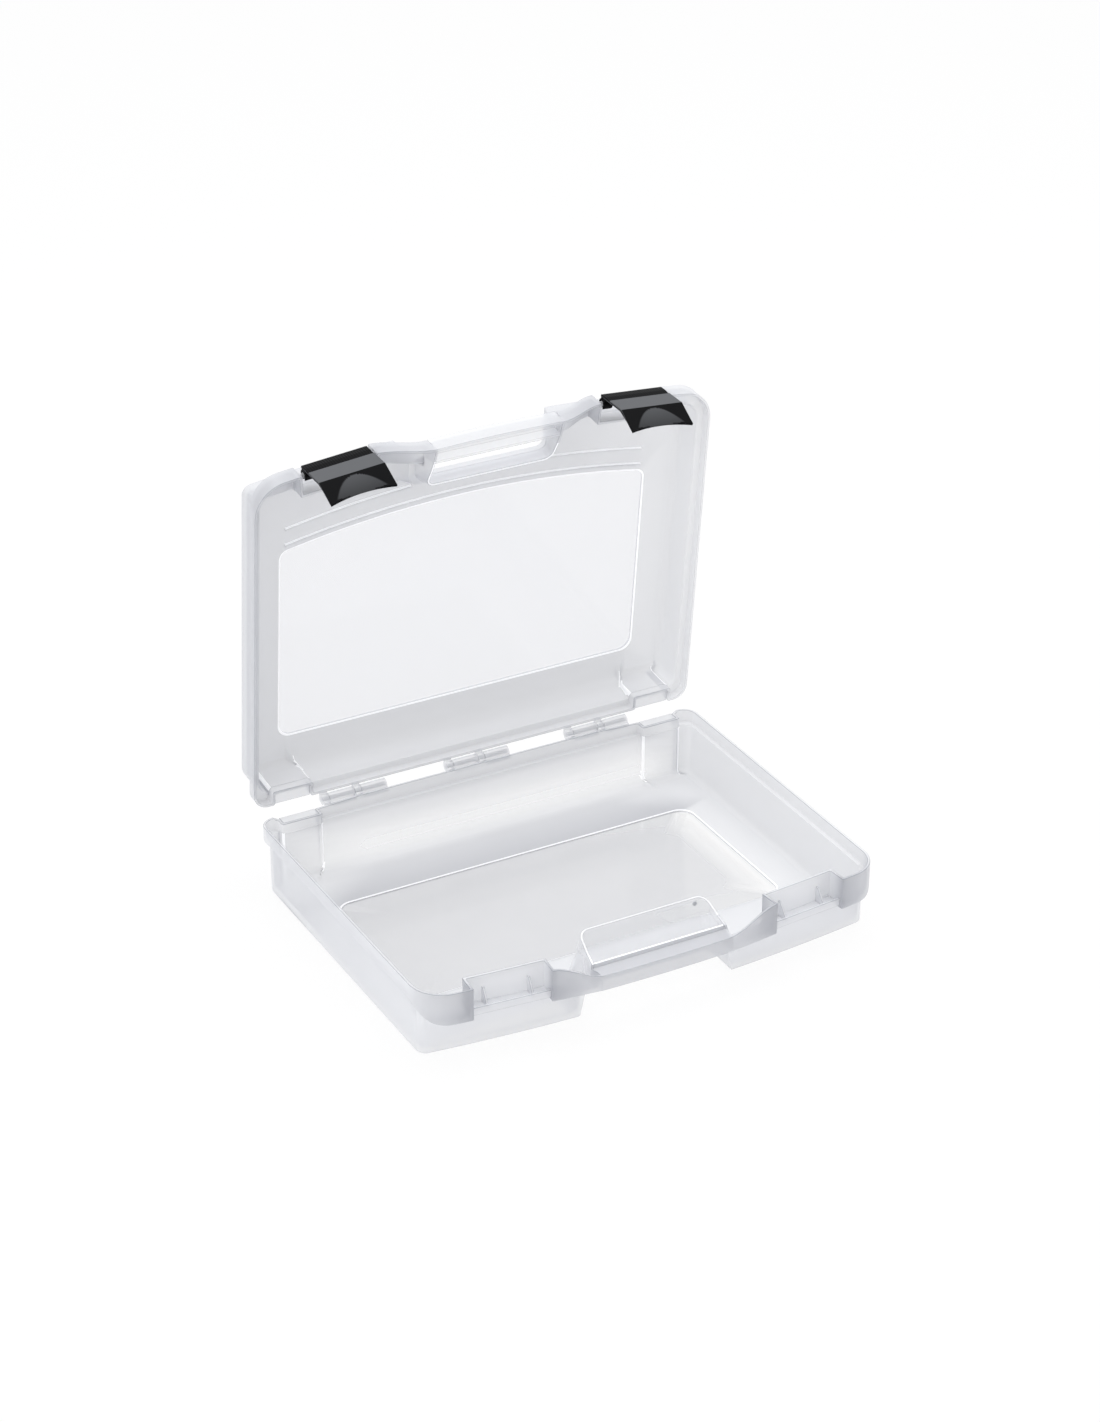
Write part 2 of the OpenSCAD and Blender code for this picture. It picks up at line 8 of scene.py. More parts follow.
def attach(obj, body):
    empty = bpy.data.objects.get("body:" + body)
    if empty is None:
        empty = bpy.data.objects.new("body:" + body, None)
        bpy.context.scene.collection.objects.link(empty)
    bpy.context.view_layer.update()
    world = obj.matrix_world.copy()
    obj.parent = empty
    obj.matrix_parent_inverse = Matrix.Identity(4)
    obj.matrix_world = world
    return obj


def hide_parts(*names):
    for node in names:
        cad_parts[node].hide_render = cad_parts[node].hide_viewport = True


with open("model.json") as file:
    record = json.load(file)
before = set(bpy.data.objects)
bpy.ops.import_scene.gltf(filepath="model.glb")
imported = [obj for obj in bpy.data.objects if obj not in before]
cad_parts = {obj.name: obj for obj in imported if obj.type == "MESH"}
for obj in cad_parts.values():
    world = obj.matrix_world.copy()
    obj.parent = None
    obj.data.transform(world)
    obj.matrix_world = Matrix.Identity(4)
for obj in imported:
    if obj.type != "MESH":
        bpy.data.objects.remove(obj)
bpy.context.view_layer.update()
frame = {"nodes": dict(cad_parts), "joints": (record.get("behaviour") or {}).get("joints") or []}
mm = 0.001
nodes = frame["nodes"]

# sizes of the case in millimetres, in the closed position
case = {
    "halfWidth": 185.0,
    "rearY": 140.0,
    "frontY": -144.5,
    "frontRadius": 1320.0,
    "partingZ": 55.0,
    "wall": 2.0,
    "ledge": 15.0,            # latch pockets and lower walls lie this far behind the front
    "frontCorner": 26.0,
    "rearCorner": 12.0,
    "lowFrontCorner": 6.0,
    "lowRearCorner": 9.5,
    "blockIn": 139.0,
    "blockOut": 168.0,
    "blockDepth": 5.0,
    "blockLow": 2.0,
    "pocketOut": 148.9,
    "pocketIn": 91.1,
    "pocketLean": 1.36,
    "gripHalf": 50.0,
    "gripDraft": 0.218,
    "gripRear": -106.5,
    "gripLean": 10.0,
    "gripKnee": 42.0,
    "gripCorner": 6.0,
    "barDip": 15.0,
    "barBack": -129.5,
    "ridge": 3.0,
    "sweepIn": 50.0,
    "sweepOut": 92.0,
    "collarHalf": 66.0,       # the walls round the hand opening lie inside this box
    "collarFront": -143.0,
    "collarRear": -60.0,
    "frontWallY": -100.0,     # walls further forward belong to the front
    "stepBack": -105.0,       # the step in the side walls drops from here over this length
    "stepRun": 29.0,
    "edge": 0.35,             # rounding of free edges
    "knee": 41.8,             # height where the wall of the hand opening starts to lean
    "gap": 0.15,              # between the rims when the lid is shut
}
arcY = case["frontY"] + case["frontRadius"]
hinge = frame["joints"][0]
hingeAt = Vector(hinge["pos_m"]) / mm
lidOpen = math.radians(hinge["range_deg"][1])


def clamp(v, lo=0.0, hi=1.0):
    return max(lo, min(hi, v))


def ease(t):
    t = clamp(t)
    return t * t * (3 - 2 * t)


def lerp(a, b, t):
    return a + (b - a) * t


def arcAt(radius, x):
    return arcY - math.sqrt(radius * radius - x * x)


def partZ(x):    # height of the parting line along the front
    c = case
    t = (abs(x) - c["sweepIn"]) / (c["sweepOut"] - c["sweepIn"])
    return c["partingZ"] - c["barDip"] * (1 - ease(t))


def toLid(p):    # closed place of a lid point to its open place
    swing = Matrix.Translation(hingeAt) @ Matrix.Rotation(-lidOpen, 4, "X") @ Matrix.Translation(-hingeAt)
    return swing @ Vector(p)


def flipZ(p):    # the lid is drawn upside down, like a second tray
    return Vector((p[0], p[1], 2 * case["partingZ"] - p[2]))


def asBase(p):
    return Vector(p)


def asLid(p):
    return toLid(flipZ(p))


def newObject(name, bm, body, materials, smooth=40.0, stands=()):
    bmesh.ops.recalc_face_normals(bm, faces=bm.faces)
    mesh = bpy.data.meshes.new(name)
    bm.to_mesh(mesh)
    bm.free()
    for m in materials:
        mesh.materials.append(m)
    mesh.shade_smooth()
    mesh.set_sharp_from_angle(angle=math.radians(smooth))
    o = bpy.data.objects.new(name, mesh)
    bpy.context.scene.collection.objects.link(o)
    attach(o, body)
    if stands:
        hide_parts(*stands)
    return o


def bevel(o, width, segments=2, angle=35.0):
    m = o.modifiers.new("roundedEdges", "BEVEL")
    m.width = width * mm
    m.segments = segments
    m.limit_method = "ANGLE"
    m.angle_limit = math.radians(angle)
    m.material = 1 if len(o.data.materials) > 1 else -1
    return o


def addRing(bm, points, place, shade=None):
    layer = bm.verts.layers.float.get("shade") or bm.verts.layers.float.new("shade")
    out = []
    for p in points:
        v = bm.verts.new(place(p) * mm)
        v[layer] = shade(p) if shade else 0.0
        out.append(v)
    return out


def bridge(bm, a, b, material=0, closed=True):
    n = len(a)
    for i in range(n if closed else n - 1):
        j = (i + 1) % n
        f = bm.faces.new((a[i], a[j], b[j], b[i]))
        f.material_index = material


def roundCorner(a, b, c, r, n):    # n + 1 points of an arc of radius r in the corner at b
    va = Vector((a[0] - b[0], a[1] - b[1]))
    vc = Vector((c[0] - b[0], c[1] - b[1]))
    if va.length < 1e-6 or vc.length < 1e-6 or r <= 0:
        return [(b[0], b[1])] * (n + 1)
    va.normalize()
    vc.normalize()
    half = va.angle(vc) / 2
    if half > math.radians(89.5):
        return [(b[0], b[1])] * (n + 1)
    reach = r / math.tan(half)
    centre = Vector(b[:2]) + (va + vc).normalized() * (r / math.sin(half))
    start = Vector(b[:2]) + va * reach - centre
    end = Vector(b[:2]) + vc * reach - centre
    turn = start.angle_signed(end)
    out = []
    for i in range(n + 1):
        t = -turn * i / n
        co, si = math.cos(t), math.sin(t)
        out.append((centre.x + start.x * co - start.y * si, centre.y + start.x * si + start.y * co))
    return out


def coveShift(radius, z):
    if z >= radius:
        return 0.0
    return radius - math.sqrt(max(0.0, radius * radius - (radius - max(z, 0.0)) ** 2))


def arcPoints(centre, radius, start, end, steps):    # angles from the x axis
    angles = [lerp(start, end, i / steps) for i in range(steps + 1)]
    return [(centre[0] + radius * math.cos(a), centre[1] + radius * math.sin(a)) for a in angles]


wallShape = {
    "rearX": (0.0, 25.0, 50.0, 75.0, 100.0),
    "sideY": (90.0, 40.0, 0.0, -40.0, -80.0),
    "blockCorner": 1.6,
    "pocketCorner": 1.0,
    "gripMiddle": -122.0,     # the hand opening's side has a station here
    "gripX": 30.0,
}


def rearOutline(t, z, shell, low):    # from the middle of the rear wall round a corner block to the side
    c, k = case, wallShape
    inset = shell["lowIn"] if low else 0.0
    side, rear = c["halfWidth"] - inset - t, c["rearY"] - inset - t
    corner = (c["lowRearCorner"] + 2 if low else c["rearCorner"]) - t
    mid = rear
    if low:
        inward = 0.0 if t < c["wall"] - 0.1 else c["wall"]
        mid = rear - coveShift(shell["cove"] - inward, z - inward)
    block = c["rearY"] - shell["lowIn"] - c["blockDepth"] - t
    lean = clamp((mid - block) / 2, -1, 1)
    blockIn, blockOut, small = c["blockIn"] - t * lean, c["blockOut"] + t, k["blockCorner"]
    track = [(k["rearX"][-1], mid, 0), (blockIn, mid, small), (blockIn, block, small),
             (blockOut, block, small), (blockOut, rear, small), (side, rear, max(corner, 1.0)), (side, 0.0, 0)]
    pts = [(x, mid) for x in k["rearX"]]
    for i in range(1, len(track) - 1):
        steps = 8 if i == len(track) - 2 else 4
        pts += roundCorner(track[i - 1], track[i], track[i + 1], track[i][2], steps)
    return pts


def pocketOutline(t, big, start, end, low):    # from the front corner round a latch pocket to the handle
    c = case
    backBig = c["frontRadius"] - c["ledge"] - t
    outX, inX = c["pocketOut"] + t, c["pocketIn"] - t
    backOut, backIn = outX - c["pocketLean"], inX - c["pocketLean"]

    def onFront(x):
        return x, arcAt(big, x)

    def onBack(x):
        return x, arcAt(backBig, x)

    before = [onFront(lerp(start, outX, i / 4)) for i in (1, 2, 3)]
    inner = [onBack(lerp(backOut, backIn, i / 6)) for i in range(1, 6)]
    after = [onFront(lerp(inX, end, i / 9)) for i in range(1, 10)]
    outCorner, inCorner = onBack(backOut), onBack(backIn)
    outFront, inFront = (outCorner, inCorner) if low else (onFront(outX), onFront(inX))
    r = 0.0 if low else wallShape["pocketCorner"]
    return (before + roundCorner(before[-1], outFront, outCorner, r, 2)
            + roundCorner(outFront, outCorner, inner[0], r, 2) + inner
            + roundCorner(inner[-1], inCorner, inFront, r, 2)
            + roundCorner(inCorner, inFront, after[0], r, 2) + after)


def outline(kind, t, z, shell):    # right half of a wall's outline, from the rear to the hand opening
    c, k = case, wallShape
    low = kind == "low"
    side = c["halfWidth"] - (shell["lowIn"] if low else 0.0) - t
    big = c["frontRadius"] - (c["ledge"] if low else 0.0) - t
    corner = max((c["lowFrontCorner"] + 2 if low else c["frontCorner"]) - t, 0.8)
    pts = rearOutline(t, z, shell, low) + [(side, y) for y in k["sideY"]]
    cx = side - corner
    cy = arcY - math.sqrt((big - corner) ** 2 - cx * cx)
    pts += arcPoints((cx, cy), corner, 0.0, math.atan2(cy - arcY, cx), 12)
    gripX = c["gripHalf"] + c["gripDraft"] * (c["partingZ"] - min(z, c["partingZ"])) + t
    gripY = c["gripRear"] + t + c["gripLean"] * clamp((c["gripKnee"] - z) / c["gripKnee"], 0, 1.2)
    pts += pocketOutline(t, big, pts[-1][0], gripX, low)
    front = pts[-1]
    if low:
        pts += [(gripX, lerp(front[1], k["gripMiddle"], i / 3)) for i in (1, 2, 3)]
    else:
        pts += [(gripX, y) for y in (c["barBack"] - 2.2, c["barBack"] - 1.9, k["gripMiddle"])]
    pts += roundCorner(front, (gripX, gripY), (0.0, gripY), c["gripCorner"] + t, 6)
    return pts + [(k["gripX"], gripY), (0.0, gripY)]


def mirrored(pts):
    return pts + [(-x, y) for x, y in reversed(pts[1:-1])]


def collarT(y):    # 0 at the handle bar, 1 at the rear of the hand opening
    return clamp((y - case["barBack"]) / (case["gripRear"] - case["barBack"]))


def isCollar(x, y):
    return abs(x) < case["collarHalf"] and case["collarFront"] < y < case["collarRear"]


def draftAt(p, z):    # how far the collar's side rims lie further out where they dip at the front
    c = case
    onSide = isCollar(p[0], p[1]) and p[1] > c["barBack"] - 2.5 and abs(p[0]) > c["gripHalf"] - 8
    return c["gripDraft"] * max(0.0, c["partingZ"] - z) if onSide else 0.0


def baseTop(x, y):
    c = case
    if y > 120 and c["blockIn"] - 3 < abs(x) < c["blockOut"] + 3:
        return c["partingZ"] - c["blockLow"]
    if isCollar(x, y) and y > c["barBack"] - 2:
        return lerp(c["partingZ"] - c["barDip"] + c["ridge"], c["partingZ"], collarT(y))
    if y < c["frontWallY"] and abs(x) < c["sweepOut"]:
        return partZ(x)
    return c["partingZ"]


def lidTop(x, y):
    c = case
    if isCollar(x, y) and abs(x) < c["gripHalf"] + 3:
        return lerp(c["partingZ"] + c["barDip"] - c["ridge"] - 0.5, c["partingZ"] - c["gap"], collarT(y))
    if y < c["frontWallY"] and abs(x) < c["sweepOut"]:
        return lidEdgeZ(x)
    return c["partingZ"] - c["gap"]


def lidEdgeZ(x):    # the lid's front edge, drawn upside down
    return 2 * case["partingZ"] - partZ(x) - 0.3


def stepZ(shell, x, y):    # height of the step in the walls
    c = case
    if isCollar(x, y) and y > -125:
        return c["knee"]
    if abs(x) < c["sweepOut"] and y < c["collarRear"]:
        return shell["stepMiddle"](x)
    return lerp(shell["stepRear"], shell["stepFront"], ease((c["stepBack"] - y) / c["stepRun"]))


def along(table, z):    # value at height z in a table of (height, value)
    for (z0, v0), (z1, v1) in zip(table, table[1:]):
        if z <= z1:
            return lerp(v0, v1, clamp((z - z0) / (z1 - z0)))
    return table[-1][1]


# painted light and shade on the frosted plastic by place: above 0 a darker, denser colour as painted shade,
# below 0 clearer and lighter as painted light
paintedLightAndShade = {
    "skirt": (0.45, 0.55),        # painted shade everywhere on the front skirt, and more near the latch pockets
    "skirtReach": 40.0,
    "inPocket": 0.1,
    # painted light: the walls of the hand opening clearer and lighter
    "collar": -1.2,
    "floorRear": 0.75,            # painted shade on the floor between the rear wall and the clear panel
    # painted shade low on the rear wall's left end
    "rearLeft": 0.4,
    # painted light and shade on the rear wall by height: darker at the foot and along the top, lighter from
    # about 7 to 30 mm
    "rear": ((2.0, 0.45), (4.0, 0.0), (7.0, -0.7), (10.0, -1.1), (15.0, -1.2), (23.0, -1.0), (30.0, -0.5),
             (38.0, 0.0), (44.0, 0.35), (55.0, 0.25)),
    # painted shade over the whole lid, lighter towards its right edge, darker on its skirt
    "lid": 0.35,
    "lidRight": -0.35,
    "lidSkirt": 0.3,
    # painted shade on the front of the tray's handle bar, painted light on the lid's handle bar
    "barFront": 0.5,
    "lidBar": -0.5,
    # painted reflection: the floor panel clearer and lighter towards its right edge
    "panelRight": -2.2,
}


def frontShade(x, y, z, step):    # painted shade: the skirt darker towards the latch pockets
    c, k = case, paintedLightAndShade
    if y > c["frontWallY"] or z < step - 0.6 or (isCollar(x, y) and y > c["barBack"] - 1.5):
        return 0.0
    toPocket = min(abs(abs(x) - c["pocketOut"]), abs(abs(x) - c["pocketIn"]))
    near = 1 - clamp(toPocket / k["skirtReach"])
    between = c["pocketIn"] - 2.5 < abs(x) < c["pocketOut"] + 0.5
    inPocket = between and y > arcAt(c["frontRadius"], x) + 3
    tone = ease((-104 - y) / 22) * (k["skirt"][0] + k["skirt"][1] * near * near)
    return tone * k["inPocket"] if inPocket else tone


# painted light and shade on the tray: the hand opening's walls lighter, the floor behind the clear panel
# darker, the rear wall by height, the skirt darker
def baseShade(p):
    k = paintedLightAndShade
    x, y, z = p
    if isCollar(x, y) and y > case["barBack"]:
        return k["collar"] * ease((z - 8) / 20)
    if z < 3.5 and y < 110:
        return k["floorRear"] * ease((y - 76) / 8) * ease((150 - x) / 4)
    if y > 110 and abs(x) < case["blockIn"] + 1:
        return along(k["rear"], z) + k["rearLeft"] * ease((-100 - x) / 20) * ease((30 - z) / 10)
    return frontShade(x, y, z, stepZ(trayShell, x, y))


# painted shade over the whole lid, lighter towards its right edge as painted light, darker on the skirt
def lidShade(p):
    k = paintedLightAndShade
    x, y, z = p
    front = frontShade(x, y, z, stepZ(lidShell, x, y))
    return k["lid"] + k["lidRight"] * ease((x - 140) / 12) + k["lidSkirt"] * front


trayShell = {
    "shade": baseShade,
    "top": baseTop,
    "stepRear": 43.0,
    "stepFront": 30.0,
    "stepMiddle": lambda x: lerp(28.0, 30.0, clamp((abs(x) - 50) / 42)),
    "floorZ": 0.0,
    "lowIn": 3.5,             # how far the rim stands out
    "cove": 18.0,             # rounding between the floor and the rear wall
    "foot": 5.0,
    "panelEdge": 0.9,
    "inner": (38.0, 30.0, 23.0, 18.0, 14.0, 10.0),
}
lidShell = {
    "shade": lidShade,
    "top": lidTop,
    "stepRear": 46.0,
    "stepFront": 40.0,
    "stepMiddle": lambda x: 2 * case["partingZ"] - partZ(x) - 15.5,
    "floorZ": 20.0,
    "lowIn": 5.0,
    "cove": 24.0,
    "foot": 5.0,
    "panelEdge": 1.2,
    "inner": (24.0, 14.0, 10.0),
}


ringShape = {"foot": 1.6, "lip": 0.9, "wallHeights": (4.0, 6.5, 10.0, 14.0), "under": 2.0}


def shellRings(shell):    # rings of points from the floor's underside over the rim to the floor's top side
    c, w, e, k = case, case["wall"], case["edge"], ringShape
    z0, knee, parting = shell["floorZ"], case["knee"], case["partingZ"]
    high = mirrored(outline("high", 0.0, parting, shell))
    steps = [stepZ(shell, x, y) for x, y in high]
    tops = [shell["top"](x, y) for x, y in high]
    rings = []

    def at(kind, t, zs, shape):
        pts = mirrored(outline(kind, t, shape - z0 if kind == "low" else shape, shell))
        if shape != parting:
            return [(p[0], p[1], z) for p, z in zip(pts, zs)]
        return [(p[0] + math.copysign(draftAt(p, z), p[0]), p[1], z) for p, z in zip(pts, zs)]

    def blend(a, b, t, zs):
        return [(lerp(p[0], q[0], t), lerp(p[1], q[1], t), z) for p, q, z in zip(a, b, zs)]

    def put(pts, material=0, tag=""):
        rings.append((pts, material, tag))

    def shift(heights, dz):
        return [z + dz for z in heights]

    for a in (0, 30, 60, 90):    # rounded lower edge
        z = z0 + k["foot"] * (1 - math.cos(math.radians(a)))
        put(at("low", k["foot"] * (1 - math.sin(math.radians(a))), [z] * len(high), z))
    for z in k["wallHeights"] + (shell["cove"],):
        put(at("low", 0.0, [min(z0 + z, s - k["under"]) for s in steps], z0 + z))
    lowOut = at("low", 0.0, shift(steps, -k["lip"]), knee + z0)
    highOut = at("high", 0.0, steps, knee)
    put(lowOut)
    put(blend(lowOut, highOut, 0.06, shift(steps, -0.25)))
    put(blend(lowOut, highOut, 0.25, steps))
    put(at("high", e, steps, knee))
    put(at("high", 0.0, shift(steps, e), knee), 1)
    put(at("high", 0.0, shift(tops, -e), parting))
    put(at("high", 0.3 * e, shift(tops, -0.3 * e), parting), 1)
    put(at("high", e, tops, parting), 1)
    put(at("high", w - e, tops, parting), 0, "top")
    put(at("high", w - 0.3 * e, shift(tops, -0.3 * e), parting), 1)
    put(at("high", w, shift(tops, -e), parting), 1)
    put(at("high", w, shift(steps, w + e), knee))
    highIn = at("high", w + e, shift(steps, w), knee)
    lowIn = at("low", w, shift(steps, w - k["lip"]), knee + z0)
    put(highIn, 0, "inside")
    put(blend(lowIn, highIn, 0.25, shift(steps, w)), 0, "inside")
    put(blend(lowIn, highIn, 0.05, shift(steps, w - 0.3)), 0, "inside")
    put(lowIn, 0, "inside")
    for z in shell["inner"]:
        put(at("low", w, [min(z0 + z, s) for s in steps], z0 + z), 0, "inside")
    foot = shell["foot"]
    for a in (0, 22.5, 45, 67.5, 90):    # fillet from the wall into the floor
        z = z0 + w + foot * (1 - math.sin(math.radians(a)))
        put(at("low", w + foot * (1 - math.cos(math.radians(a))), [z] * len(high), z), 0, "inside")
    return rings


def panelLoop(shape, inset, z):    # outline of a clear panel
    hw, rear, corner = shape["halfWidth"] - inset, shape["rear"] - inset, shape["corner"]
    pts = [(0.0, rear)] + arcPoints((hw - corner, rear - corner), corner, math.pi / 2, 0.0, 8)
    if shape["frontRadius"]:
        big, small = shape["frontRadius"] - inset, shape["frontCorner"]
        sag = shape["frontRadius"] - math.sqrt(shape["frontRadius"] ** 2 - shape["halfWidth"] ** 2)
        cy = shape["sideFront"] - sag + shape["frontRadius"]
        cx = hw - small
        cornerY = cy - math.sqrt((big - small) ** 2 - cx * cx)
        pts += arcPoints((cx, cornerY), small, 0.0, math.atan2(cornerY - cy, cx), 8)
        x0 = pts[-1][0]
        for i in range(1, 13):
            x = x0 * (1 - i / 12)
            pts.append((x, cy - math.sqrt(big * big - x * x)))
    else:
        front = shape["sideFront"] + inset
        pts += arcPoints((hw - corner, front + corner), corner, 0.0, -math.pi / 2, 8) + [(0.0, front)]
    return [(x, y, z) for x, y in mirrored(pts)]


floorShape = {
    "halfWidth": 150.0,
    "rear": 84.0,
    "sideFront": -56.0,
    "corner": 12.0,
    "frontRadius": 0.0,       # straight front
    "margin": 28.0,
}
windowShape = {
    "halfWidth": 150.0,
    "rear": 104.0,
    "sideFront": -55.0,
    "corner": 10.0,
    "frontRadius": 760.0,
    "frontCorner": 8.0,
    "margin": 2.0,
}


def fillBetween(bm, outer, inner):
    edges = []
    for ring in (outer, inner):
        for i in range(len(ring)):
            a, b = ring[i], ring[(i + 1) % len(ring)]
            edges.append(bm.edges.get((a, b)) or bm.edges.new((a, b)))
    bmesh.ops.triangle_fill(bm, edges=edges, use_beauty=True, use_dissolve=False)


def paintHighlightFace(a, b, j):    # the face between two rings at point j takes the painted highlight material
    k = (j + 1) % len(a)
    f = next((f for f in a[j].link_faces if a[k] in f.verts and b[j] in f.verts), None)
    if f:
        f.material_index = 2


def paintBlockHighlights(a, b, points):    # painted highlight lines down the corner blocks' edges inside
    c = case
    for j, (x, y, z) in enumerate(points):
        x = abs(x + points[(j + 1) % len(points)][0]) / 2
        edgeX = min(abs(x - c["blockIn"] + 0.4), abs(x - c["blockOut"] - 0.4))
        if 118 < y < 131.5 and edgeX < 1.9:
            paintHighlightFace(a, b, j)


def paintTopHighlight(a, b, points):    # painted highlight along the top edge round the hand opening
    for j, (x, y, z) in enumerate(points):
        if isCollar(x, y) and y > case["barBack"] - 1:
            paintHighlightFace(a, b, j)


def makeShell(name, shell, panel, place, body, materials, stands):
    bm = bmesh.new()
    rings = shellRings(shell)
    verts = [addRing(bm, pts, place, shell["shade"]) for pts, material, tag in rings]
    for i in range(len(verts) - 1):
        bridge(bm, verts[i], verts[i + 1], rings[i + 1][1])
        if rings[i + 1][2] == "top":
            paintTopHighlight(verts[i], verts[i + 1], rings[i][0])
        if rings[i + 1][2] == "inside":
            paintBlockHighlights(verts[i], verts[i + 1], rings[i + 1][0])
    bm.verts.ensure_lookup_table()
    z0, w = shell["floorZ"], case["wall"]
    lowerPanel = addRing(bm, panelLoop(panel, 0.0, z0), place, shell["shade"])
    upperPanel = addRing(bm, panelLoop(panel, 0.0, z0 + w - 0.5), place)
    panelEdge = addRing(bm, panelLoop(panel, -shell["panelEdge"], z0 + w), place, shell["shade"])
    bridge(bm, lowerPanel, upperPanel)
    # the rim round the clear panel takes the painted highlight material
    bridge(bm, upperPanel, panelEdge, 2)
    fillBetween(bm, verts[0], lowerPanel)
    fillBetween(bm, verts[-1], panelEdge)
    bmesh.ops.remove_doubles(bm, verts=bm.verts, dist=0.00002)
    return newObject(name, bm, body, materials, 30.0, stands)


def panelPaintedReflection(p):    # painted reflection: clearer and lighter towards the right edge
    return paintedLightAndShade["panelRight"] * ease((p[0] - 135) / 12)


def makePanel(name, panel, z0, thick, place, body, material, stands):
    bm = bmesh.new()
    z1 = z0 + thick
    rings = [panelLoop(panel, inset, z) for inset, z in
             ((0.4, z0), (0.02, z0 + 0.3), (0.02, z1 - 0.3), (0.4, z1), (panel["margin"], z1))]
    verts = [addRing(bm, r, place, panelPaintedReflection if place is asBase else None) for r in rings]
    for a, b in zip(verts, verts[1:]):
        bridge(bm, a, b)
    bm.faces.new(verts[0])
    bm.faces.new(verts[-1])
    return newObject(name, bm, body, [material], 30.0, stands)


beadShape = {
    "gaps": (7.0, 20.0),      # distance from the window
    "width": 3.0,
    "height": 1.5,
    "slope": 0.8,
    "half": 147.0,
    "handHalf": 46.5,
    "steps": 40,
}


def makeBeads():    # bowed stiffening beads in front of the window, drawn upside down like the lid
    k, w = beadShape, windowShape
    sag = w["frontRadius"] - math.sqrt(w["frontRadius"] ** 2 - w["halfWidth"] ** 2)
    centre = w["sideFront"] - sag + w["frontRadius"]
    z0 = lidShell["floorZ"] + case["wall"]
    wide, high, slope = k["width"], k["height"], k["slope"]
    profile = ((0.0, 0.0), (slope, high), (wide - slope, high), (wide, 0.0))
    whole = [(-k["half"], k["half"])]
    split = [(-k["half"], -k["handHalf"]), (k["handHalf"], k["half"])]    # beside the hand opening
    for n, (gap, spans) in enumerate(zip(k["gaps"], (whole, split))):
        radius = w["frontRadius"] + gap
        for m, (x0, x1) in enumerate(spans):
            bm = bmesh.new()
            loops = []
            for i in range(k["steps"] + 1):
                a = math.asin(lerp(x0, x1, i / k["steps"]) / radius)
                points = [((radius - d) * math.sin(a), centre - (radius - d) * math.cos(a), z0 + h)
                          for d, h in profile]
                loops.append(addRing(bm, points, asLid, lidShade))
            for a, b in zip(loops, loops[1:]):
                # the bead's two slopes take the painted highlight material
                for j, material in enumerate((1, 0, 1, 0)):
                    f = bm.faces.new((a[j], a[(j + 1) % 4], b[(j + 1) % 4], b[j]))
                    f.material_index = material
            bm.faces.new(loops[0])
            bm.faces.new(loops[-1])
            o = newObject("lidBead" + str(n) + str(m), bm, "lid", [frosted, bright], 30.0,
                          ("lid_beads",) if n == 0 else ())


def sweep(name, sections, place, body, materials, stands=(), rounding=0.4, shade=None, highlightRow=None):
    bm = bmesh.new()
    verts = [addRing(bm, s, place, shade) for s in sections]
    for a, b in zip(verts, verts[1:]):
        bridge(bm, a, b)
        # the row named here takes the painted highlight material
        if highlightRow:
            j = highlightRow
            bm.faces.get((a[j], a[j + 1], b[j + 1], b[j])).material_index = 2
    bm.faces.new(verts[0])
    bm.faces.new(list(reversed(verts[-1])))
    o = newObject(name, bm, body, materials, 35.0, stands)
    return bevel(o, rounding) if rounding else o


def extrude(profile, xs):    # the same (y, z) profile at each x
    return [[(x, y, z) for y, z in profile] for x in xs]


def plasticGrain():    # fine moulded grain and faint clouding
    g = bpy.data.node_groups.new("plasticGrain", "ShaderNodeTree")
    g.interface.new_socket("Scale", in_out="INPUT", socket_type="NodeSocketFloat")
    g.interface.new_socket("Cloud", in_out="INPUT", socket_type="NodeSocketFloat")
    g.interface.new_socket("Height", in_out="OUTPUT", socket_type="NodeSocketFloat")
    g.interface.new_socket("Tone", in_out="OUTPUT", socket_type="NodeSocketFloat")
    n, l = g.nodes, g.links
    gin, gout = n.new("NodeGroupInput"), n.new("NodeGroupOutput")
    coord = n.new("ShaderNodeTexCoord")
    fine = n.new("ShaderNodeTexNoise")
    fine.inputs["Detail"].default_value = 3.0
    l.new(coord.outputs["Object"], fine.inputs["Vector"])
    l.new(gin.outputs["Scale"], fine.inputs["Scale"])
    cloud = n.new("ShaderNodeTexNoise")
    cloud.inputs["Scale"].default_value = 14.0
    cloud.inputs["Detail"].default_value = 2.0
    l.new(coord.outputs["Object"], cloud.inputs["Vector"])
    spread = n.new("ShaderNodeMapRange")
    spread.inputs["From Min"].default_value = 0.3
    spread.inputs["From Max"].default_value = 0.7
    spread.inputs["To Min"].default_value = 0.0
    l.new(cloud.outputs["Fac"], spread.inputs["Value"])
    l.new(gin.outputs["Cloud"], spread.inputs["To Max"])
    l.new(fine.outputs["Fac"], gout.inputs["Height"])
    l.new(spread.outputs["Result"], gout.inputs["Tone"])
    return g


grainGroup = plasticGrain()


def curve(n, l, source, lo, hi, power):    # lo..hi as source to a power goes from 0 to 1
    p = n.new("ShaderNodeMath")
    p.operation = "POWER"
    l.new(source, p.inputs[0])
    p.inputs[1].default_value = power
    r = n.new("ShaderNodeMapRange")
    r.inputs["To Min"].default_value = lo
    r.inputs["To Max"].default_value = hi
    l.new(p.outputs[0], r.inputs["Value"])
    return r.outputs["Result"]


def blendColour(n, l, factor, a, b):
    m = n.new("ShaderNodeMix")
    m.data_type = "RGBA"
    for name, v in (("A", a), ("B", b)):
        if isinstance(v, tuple):
            m.inputs[name].default_value = (*v, 1)
        else:
            l.new(v, m.inputs[name])
    l.new(factor, m.inputs["Factor"])
    return m.outputs["Result"]


def outerOnly(n, l, value):
    geometry = n.new("ShaderNodeNewGeometry")
    pick = n.new("ShaderNodeMath")
    pick.operation = "MULTIPLY_ADD"
    l.new(geometry.outputs["Backfacing"], pick.inputs[0])
    pick.inputs[1].default_value = -2.0
    l.new(value, pick.inputs[2])
    pick.use_clamp = True
    return pick.outputs[0]


